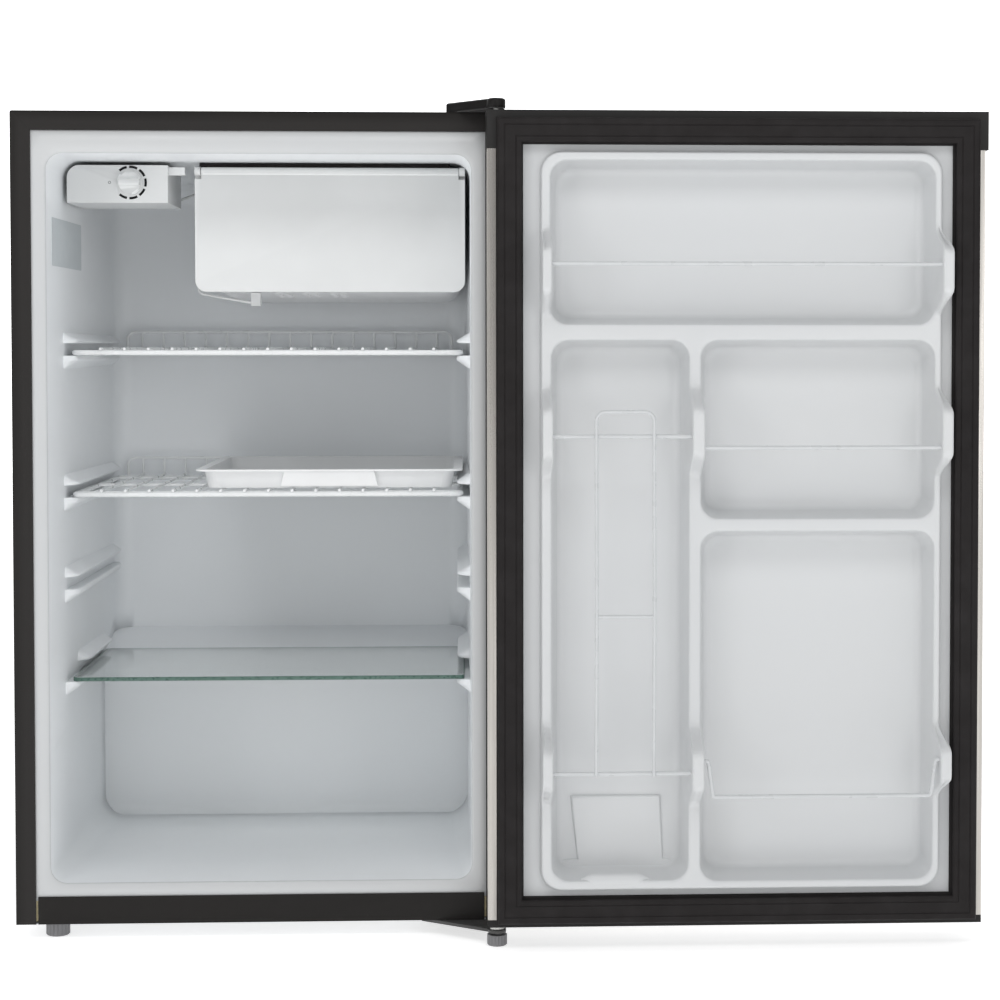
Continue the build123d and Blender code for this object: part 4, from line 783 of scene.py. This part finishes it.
def door_loop(bounds, inset, radius):
    """A rounded outline on the door, drawn in by inset; bounds are in millimetres."""
    u0, u1, z0, z1 = bounds
    return rounded_loop(
        HINGE_EDGE + u0 * MM + inset,
        HINGE_EDGE + u1 * MM - inset,
        z0 * MM + inset,
        z1 * MM - inset,
        radius,
        CORNER_STEPS,
        side_steps(bounds),
    )


def bin_wall(bounds):
    """Rings of one bin, from the rim's edge to its floor."""
    nominal = door_loop(bounds, 0, BIN_CORNER)
    heights = [rim_face(*on_door(x, z)) for x, z in nominal]
    rings = []
    for sine, cosine in quarter_turn(4):
        loop = door_loop(bounds, -EDGE_ROUND * (1 - sine), BIN_CORNER)
        drop = EDGE_ROUND * (1 - cosine)
        rings.append([(x, h + drop, z) for (x, z), h in zip(loop, heights)])
    for share in (0.25, 0.5, 0.75):
        ring = []
        for (x, z), h in zip(door_loop(bounds, BIN_DRAFT * share, BIN_CORNER), heights):
            start, end = h + EDGE_ROUND, RECESS_FACE - BIN_FILLET
            ring.append((x, start + (end - start) * share, z))
        rings.append(ring)
    for sine, cosine in quarter_turn(5):
        inset = BIN_DRAFT + BIN_FILLET * (1 - cosine)
        y = RECESS_FACE - BIN_FILLET * (1 - sine)
        rings.append([(x, y, z) for x, z in door_loop(bounds, inset, BIN_CORNER)])
    return rings


def body_skirt():
    """Rings of the raised island's outer side, from the rim's edge out to under the seal."""
    nominal = door_loop(BODY_OUTLINE, 0, BODY_CORNER)
    heights = [rim_face(*on_door(x, z)) for x, z in nominal]
    rings = []
    turn = quarter_turn(4)
    for sine, cosine in turn:
        drop = EDGE_ROUND * (1 - cosine)
        loop = door_loop(BODY_OUTLINE, RIM_EDGE_INSET - EDGE_ROUND * sine, BODY_CORNER)
        rings.append(swollen([(x, h + drop, z) for (x, z), h in zip(loop, heights)]))
    cove = 2.5 * MM
    for sine, cosine in turn:
        y = DOOR_INNER - cove * (1 - sine) - SHEET_GAP
        loop = door_loop(BODY_OUTLINE, SHEET_GAP - cove * (1 - cosine), BODY_CORNER)
        rings.append(swollen([(x, y, z) for x, z in loop]))
    u0, u1, z0, z1 = LINER_FLANGE
    flange = rounded_loop(HINGE_EDGE + u0 * MM, HINGE_EDGE + u1 * MM, z0 * MM, z1 * MM,
                          FLANGE_CORNER, CORNER_STEPS, side_steps(BODY_OUTLINE))
    buried = 30 * MM
    rings.append([(x, DOOR_INNER - SHEET_GAP, z) for x, z in flange])
    rings.append([(x, DOOR_INNER + buried, z) for x, z in flange])
    return rings


def rings_mesh(rings, cap_last):
    """Faces between rings of equal length, with the last ring filled in if asked."""
    verts = [v for ring in rings for v in ring]
    count = len(rings[0])
    faces = []
    for k in range(len(rings) - 1):
        bridge(faces, k * count, (k + 1) * count, count)
    if cap_last:
        faces.append(tuple(range((len(rings) - 1) * count, len(rings) * count)))
    return verts, faces


def in_rounded(x, z, bounds, radius):
    """Whether a point of the door lies inside a rounded outline given in millimetres."""
    u0, u1, z0, z1 = bounds
    u, v = on_door(x, z)
    corner = radius / MM
    du = max(u0 + corner - u, u - u1 + corner, 0.0)
    dv = max(z0 + corner - v, v - z1 + corner, 0.0)
    return math.hypot(du, dv) < corner - 0.02


def rim_top(outline, holes):
    """The rim's top face between the island's edge and the bins' mouths."""
    points = list(outline)
    for loop in holes:
        points += loop
    edges = []
    start = 0
    for loop in [outline] + holes:
        count = len(loop)
        edges += [(start + k, start + (k + 1) % count) for k in range(count)]
        start += count
    flat = [Vector((x, z)) for x, y, z in points]
    got = delaunay_2d_cdt(flat, edges, [], 0, 1e-7)
    out_points, out_faces, origins = got[0], got[2], got[3]
    verts = []
    for index, point in enumerate(out_points):
        face_y = rim_face(*on_door(point.x, point.y))
        verts.append(points[origins[index][0]] if origins[index] else (point.x, face_y, point.y))
    margin = 0.05
    mouth = EDGE_ROUND / MM - margin
    faces = []
    for face in out_faces:
        x = sum(out_points[i].x for i in face) / 3
        z = sum(out_points[i].y for i in face) / 3
        in_bin = any(
            in_rounded(x, z, (u0 - mouth, u1 + mouth, z0 - mouth, z1 + mouth), BIN_CORNER)
            for u0, u1, z0, z1 in BINS.values()
        )
        u0, u1, z0, z1 = BODY_OUTLINE
        swell = ear_swell(*on_door(x, z)) / MM
        edge = RIM_EDGE_INSET / MM
        island = (u0 + edge, u1 - edge + swell, z0 + edge, z1 - edge)
        if not in_bin and in_rounded(x, z, island, BODY_CORNER):
            faces.append(tuple(face))
    return verts, faces


def build_door_liner():
    """The door's white inner face, with its bins and brackets."""
    skirt = body_skirt()
    walls = {name: bin_wall(bounds) for name, bounds in BINS.items()}
    parts = [rings_mesh(skirt, True)]
    parts += [rings_mesh(rings, True) for rings in walls.values()]
    parts.append(rim_top(skirt[0], [rings[0] for rings in walls.values()]))
    verts, faces = merge(parts)
    # Painted shade: the door's liner takes the darker copy of the white sheet.
    liner = make_piece("door_liner_form", verts, faces, DOOR_WHITE_PAINTED_SHADE, "door", "white_liner", 50)
    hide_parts("door_liner")
    column_pad()
    finger_pad()


def column_pad():
    """The raised step moulded in the back of the tall column, with a panel standing on it."""
    outline = [
        (69, 76), (192, 76), (192, 85), (176, 85), (173, 149), (83, 149), (90, 85), (69, 85),
    ]
    middle, shoulder = 131, 85
    rings = []
    for shrink, y in ((0, 1.5), (0, -1.2), (0.7, -2.6), (2.2, -3.2), (3.0, -3.0)):
        ring = []
        for u, z in outline:
            du = shrink if u < middle else -shrink
            dz = shrink if z < shoulder else -shrink
            ring.append((HINGE_EDGE + (u + du) * MM, RECESS_FACE + y * MM, (z + dz) * MM))
        rings.append(ring)
    verts, faces = rings_mesh(rings, True)
    pad = make_piece("column_pad", verts, faces, DOOR_WHITE_PAINTED_SHADE, "door", "white_liner", 40)
    soften(pad, 1.0 * MM)


def finger_pad():
    """The swelling in the lower rim of the tall column, where a finger reaches in."""
    low = 62.5 * MM
    u0, u1 = 92.0, 160.0
    stations, section_count = 17, 9
    ramp = 0.18
    verts, faces = [], []
    for k in range(stations):
        share = k / (stations - 1)
        lift = min(smooth_step(share / ramp), smooth_step((1 - share) / ramp))
        x = HINGE_EDGE + (u0 + (u1 - u0) * share) * MM
        for j in range(section_count):
            angle = math.radians(180.0 * j / (section_count - 1))
            z = low + (10 + 5 * lift) * MM * 0.5 * (1 - math.cos(angle))
            y = RIM_FACE + 5 * MM - (5.6 * lift + 0.2) * MM * math.sin(angle)
            verts.append((x, y, z))
    for k in range(stations - 1):
        bridge(faces, k * section_count, (k + 1) * section_count, section_count)
    cap_ends(faces, section_count, (stations - 1) * section_count)
    make_piece("finger_pad", verts, faces, DOOR_WHITE_PAINTED_SHADE, "door", "white_liner", 50)


# ================================================================== door seal
def build_gasket():
    """Mitred magnetic seal: base, bellows and a ribbed bulb."""
    low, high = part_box("door_gasket")
    # (drawn in from the outer edge, height off the door) in millimetres
    profile = [
        (0.0, 0.0), (0.0, 2.2), (0.8, 3.0), (4.0, 3.6), (4.6, 4.6), (3.4, 5.6),
        (3.4, 6.4), (1.8, 7.2), (1.2, 8.4), (1.2, 11.6), (2.0, 12.9), (3.6, 13.5),
        (7.4, 13.5), (7.8, 13.0), (8.4, 13.0), (8.8, 13.5), (18.6, 13.5), (19.0, 13.0),
        (19.6, 13.0), (20.0, 13.5), (22.6, 13.4), (24.4, 12.4), (24.9, 10.8), (24.4, 8.8),
        (23.0, 7.6), (20.6, 6.8), (20.0, 5.6), (21.4, 4.6), (25.4, 4.2), (26.4, 3.2),
        (26.5, 0.0),
    ]
    base = high.y
    verts, faces = [], []
    for inset, height in profile:
        x0, x1 = low.x + inset * MM, high.x - inset * MM
        z0, z1 = low.z + inset * MM, high.z - inset * MM
        y = base - height * MM
        verts += [(x0, y, z0), (x1, y, z0), (x1, y, z1), (x0, y, z1)]
    for k in range(len(profile)):
        bridge(faces, 4 * k, 4 * ((k + 1) % len(profile)), 4)
    seal = make_piece("seal_form", verts, faces, MATERIALS["seal_black"], "door", "seal_black", 50)
    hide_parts("door_gasket")


# ================================================================== glass shelf edge
def build_glass_edge():
    """The green ground edge that runs round the glass."""
    low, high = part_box("glass_shelf")
    corner, sides = 6 * MM, (8, 8)

    def loop(grow, radius):
        """The glass's outline, grown outwards."""
        return rounded_loop(low.x - grow, high.x + grow, low.y - grow, high.y + grow,
                            radius, CORNER_STEPS, sides)

    ground, proud, skin, arris = 0.7 * MM, 0.15 * MM, 0.05 * MM, 0.4 * MM
    outer, inner, outward = loop(0, corner), loop(-ground, corner - ground), loop(proud, corner)
    rings = [(inner, high.z + skin), (outer, high.z), (outward, high.z - arris),
             (outward, low.z + arris), (outer, low.z), (inner, low.z - skin)]
    count = len(outer)
    verts = [(x, y, z) for ring, z in rings for x, y in ring]
    faces = []
    for k in range(len(rings)):
        bridge(faces, k * count, ((k + 1) % len(rings)) * count, count)
    make_piece("glass_edge", verts, faces, GREEN_EDGE, "glass_shelf", "clear_glass", 60)


# ================================================================== dial scale and label
def flat_arc(cx, cz, y, r0, r1, start, end, thick, steps=8):
    """A thin printed arc that faces the front."""
    verts, faces = [], []
    for k in range(steps + 1):
        angle = math.radians(start + (end - start) * k / steps)
        for radius, dy in ((r0, 0.0), (r1, 0.0), (r1, thick), (r0, thick)):
            verts.append((cx + radius * math.cos(angle), y + dy, cz + radius * math.sin(angle)))
    for k in range(steps):
        bridge(faces, 4 * k, 4 * (k + 1), 4)
    faces.append((3, 2, 1, 0))
    faces.append(tuple(4 * steps + i for i in range(4)))
    return verts, faces


def build_dial_scale():
    """Seven dashes round the knob's right side, and a nought for off."""
    low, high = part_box("thermostat_knob")
    cx, cz = (low.x + high.x) / 2, (low.z + high.z) / 2
    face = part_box("thermostat_housing")[0].y
    y, thick = face - 0.12 * MM, 0.2 * MM
    dashes = 7
    sweep, gap = 262.0, 9.0
    inner, outer = 15.0 * MM, 17.5 * MM
    each = (sweep - gap * (dashes - 1)) / dashes
    parts = []
    for k in range(dashes):
        start = -sweep / 2 + k * (each + gap)
        parts.append(flat_arc(cx, cz, y, inner, outer, start, start + each, thick))
    make_piece("dial_scale", *merge(parts), PRINT_BLACK, "cabinet", "white_moulding", 60)
    nought_left = 21 * MM
    nought = flat_arc(cx - nought_left, cz, y, 1.0 * MM, 1.5 * MM, 0, 360, thick, 24)
    make_piece("dial_nought", *nought, PRINT_GREY, "cabinet", "white_moulding", 60)


def build_housing_tab():
    """The small lug on the control housing's right side, up against the ceiling."""
    low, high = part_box("thermostat_housing")
    rooted, reach = 1 * MM, 17 * MM
    front, back = low.y + 6 * MM, low.y + 13 * MM
    bottom, top = high.z - 10 * MM, high.z - 1.5 * MM
    verts, faces = block(high.x - rooted, high.x + reach, front, back, bottom, top)
    white = MATERIALS["white_moulding"]
    tab = make_piece("housing_tab", verts, faces, white, "cabinet", "white_moulding", 30)
    soften(tab, 0.8 * MM)


def build_wall_label():
    """A plain grey sticker on the left wall, with nothing printed on it."""
    y0, y1, z0, z1 = FRONT + 32 * MM, FRONT + 196 * MM, 680 * MM, 729 * MM
    loop = rounded_loop(y0, y1, z0, z1, 2 * MM, 4, (4, 2))
    verts, faces = [], []
    for out in (-0.4 * MM, 0.35 * MM):
        for y, z in loop:
            verts.append((MIDDLE - cavity_half(y) + out, y, z))
    count = len(loop)
    bridge(faces, 0, count, count)
    cap_ends(faces, count, count)
    make_piece("wall_label", verts, faces, LABEL_GREY, "cabinet", "white_moulding", 40)


def build_mitres():
    """The folded corners of the cabinet's front flange: a fine diagonal seam at each."""
    parts = []
    wide, proud = 0.5 * MM, 0.12 * MM
    top = WRAP_HIGH.z
    flange_side, flange_top, clear = 20 * MM, 19.5 * MM, 1.5 * MM
    for edge, way in ((WRAP_LOW.x, 1), (WRAP_HIGH.x, -1)):
        start = Vector((edge + way * clear, 0, top - clear))
        end = Vector((edge + way * flange_side, 0, top - flange_top))
        across = (end - start).normalized().cross(Vector((0, 1, 0))) * wide / 2
        corners = [start - across, end - across, end + across, start + across]
        verts = [(c.x, y, c.z) for y in (FRONT - proud, FRONT + proud) for c in corners]
        faces = [(0, 1, 2, 3), (7, 6, 5, 4)]
        bridge(faces, 0, 4, 4)
        parts.append((verts, faces))
    make_piece("flange_mitres", *merge(parts), SEAM_GREY, "cabinet", "black_steel", 30)


def build_evaporator_dimples():
    """Pressed dimples under the freezer, in three groups of six."""
    low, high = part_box("evaporator_box")
    rise = 8 * MM
    slope = rise / (high.y - low.y)
    around, stretch = 16, 1.6
    # (radius, how far it hangs down) in millimetres
    profile = ((4.2, -0.4), (3.4, 0.7), (2.2, 1.3), (0.8, 1.5))
    parts = []
    for group in range(3):
        for row in range(3):
            for column in range(2):
                x = (-234 + 30 * group + 10 * column) * MM
                y = (232 + 30 * row) * MM
                z = low.z + rise - slope * (y - low.y)
                rings = []
                for radius, drop in profile:
                    ring = []
                    for k in range(around):
                        angle = 2 * math.pi * k / around
                        ring.append((x + radius * MM * math.cos(angle),
                                     y + stretch * radius * MM * math.sin(angle), z - drop * MM))
                    rings.append(ring)
                parts.append(rings_mesh(rings, True))
    make_piece("evaporator_dimples", *merge(parts), MATERIALS["bare_aluminium"], "cabinet",
               "bare_aluminium", 60)


# ================================================================== stage, light, camera
def flat_sheet(name, corners, paint):
    """A four-cornered sheet of the surroundings."""
    mesh = bpy.data.meshes.new(name)
    mesh.from_pydata(corners, [], [(0, 1, 2, 3)])
    mesh.materials.append(paint.material)
    sheet = bpy.data.objects.new(name, mesh)
    bpy.context.scene.collection.objects.link(sheet)


def build_stage():
    """Pale floor under the object and a lit white screen behind it."""
    size, low = 9.0, -0.2 * MM
    floor = Paint("pale_floor", (0.90, 0.90, 0.90), 0.7)
    floor.vary_colour(floor.spread(floor.noise(2.0, 2.0), 0.0, 1.0), (0.89, 0.89, 0.89))
    floor.shader.inputs["Specular IOR Level"].default_value = 0.1
    floor.shader.inputs["Emission Color"].default_value = (1.0, 1.0, 1.0, 1.0)
    floor.shader.inputs["Emission Strength"].default_value = 0.6
    corners = [(-size, -size, low), (size, -size, low), (size, size, low), (-size, size, low)]
    flat_sheet("floor", corners, floor)
    screen = Paint("white_screen", (0.9, 0.9, 0.9), 1.0)
    screen.shader.inputs["Emission Color"].default_value = (1.0, 1.0, 1.0, 1.0)
    screen.shader.inputs["Emission Strength"].default_value = 1.2
    back, high = 8.5, 9.0
    corners = [(-size, back, low), (size, back, low), (size, back, high), (-size, back, high)]
    flat_sheet("screen", corners, screen)


def area_light(name, place, target, size, power):
    """A soft rectangular lamp that points at a target."""
    lamp = bpy.data.lights.new(name, "AREA")
    lamp.shape = "RECTANGLE"
    lamp.size, lamp.size_y = size
    lamp.energy = power
    obj = bpy.data.objects.new(name, lamp)
    obj.location = place
    obj.rotation_euler = (Vector(target) - Vector(place)).to_track_quat("-Z", "Y").to_euler()
    bpy.context.scene.collection.objects.link(obj)


def build_light():
    """Even white surroundings, and soft lamps above the camera and to both sides of it."""
    world = bpy.data.worlds.new("studio")
    world.use_nodes = True
    background = world.node_tree.nodes["Background"]
    background.inputs["Color"].default_value = (0.985, 0.99, 1.0, 1.0)
    background.inputs["Strength"].default_value = 0.44
    bpy.context.scene.world = world
    centre = (cad_low + cad_high) / 2
    area_light("top", (centre.x - 0.2, -1.75, 2.2), (-0.2, 0.2, 0.3), (1.6, 0.7), 15.0)
    area_light("left", (centre.x - 1.7, -1.9, 0.9), (-0.1, 0.3, 0.4), (0.7, 1.2), 6.0)
    area_light("right", (centre.x + 1.1, -2.3, 0.9), (-0.3, 0.3, 0.4), (0.6, 1.2), 6.0)
    bpy.context.scene.view_settings.view_transform = "Standard"


def build_camera():
    """Standing back from the door's hinge, a little above the middle, looking slightly down."""
    lens = bpy.data.cameras.new("camera")
    camera = bpy.data.objects.new("camera", lens)
    camera.location = (-0.0308, -2.2577, 0.599)
    yaw, pitch = 2.582, 2.0
    camera.rotation_euler = (math.radians(90.0 - pitch), 0.0, math.radians(-yaw))
    focal_to_width = 2.2744
    lens.sensor_width = 36.0
    lens.lens = focal_to_width * lens.sensor_width
    lens.shift_x = -0.068
    lens.shift_y = -0.075
    bpy.context.scene.collection.objects.link(camera)
    bpy.context.scene.camera = camera


dress_cad_nodes()
build_cabinet_liner()
build_door_liner()
build_gasket()
build_glass_edge()
build_dial_scale()
build_wall_label()
build_housing_tab()
build_mitres()
build_evaporator_dimples()
build_stage()
build_light()
build_camera()
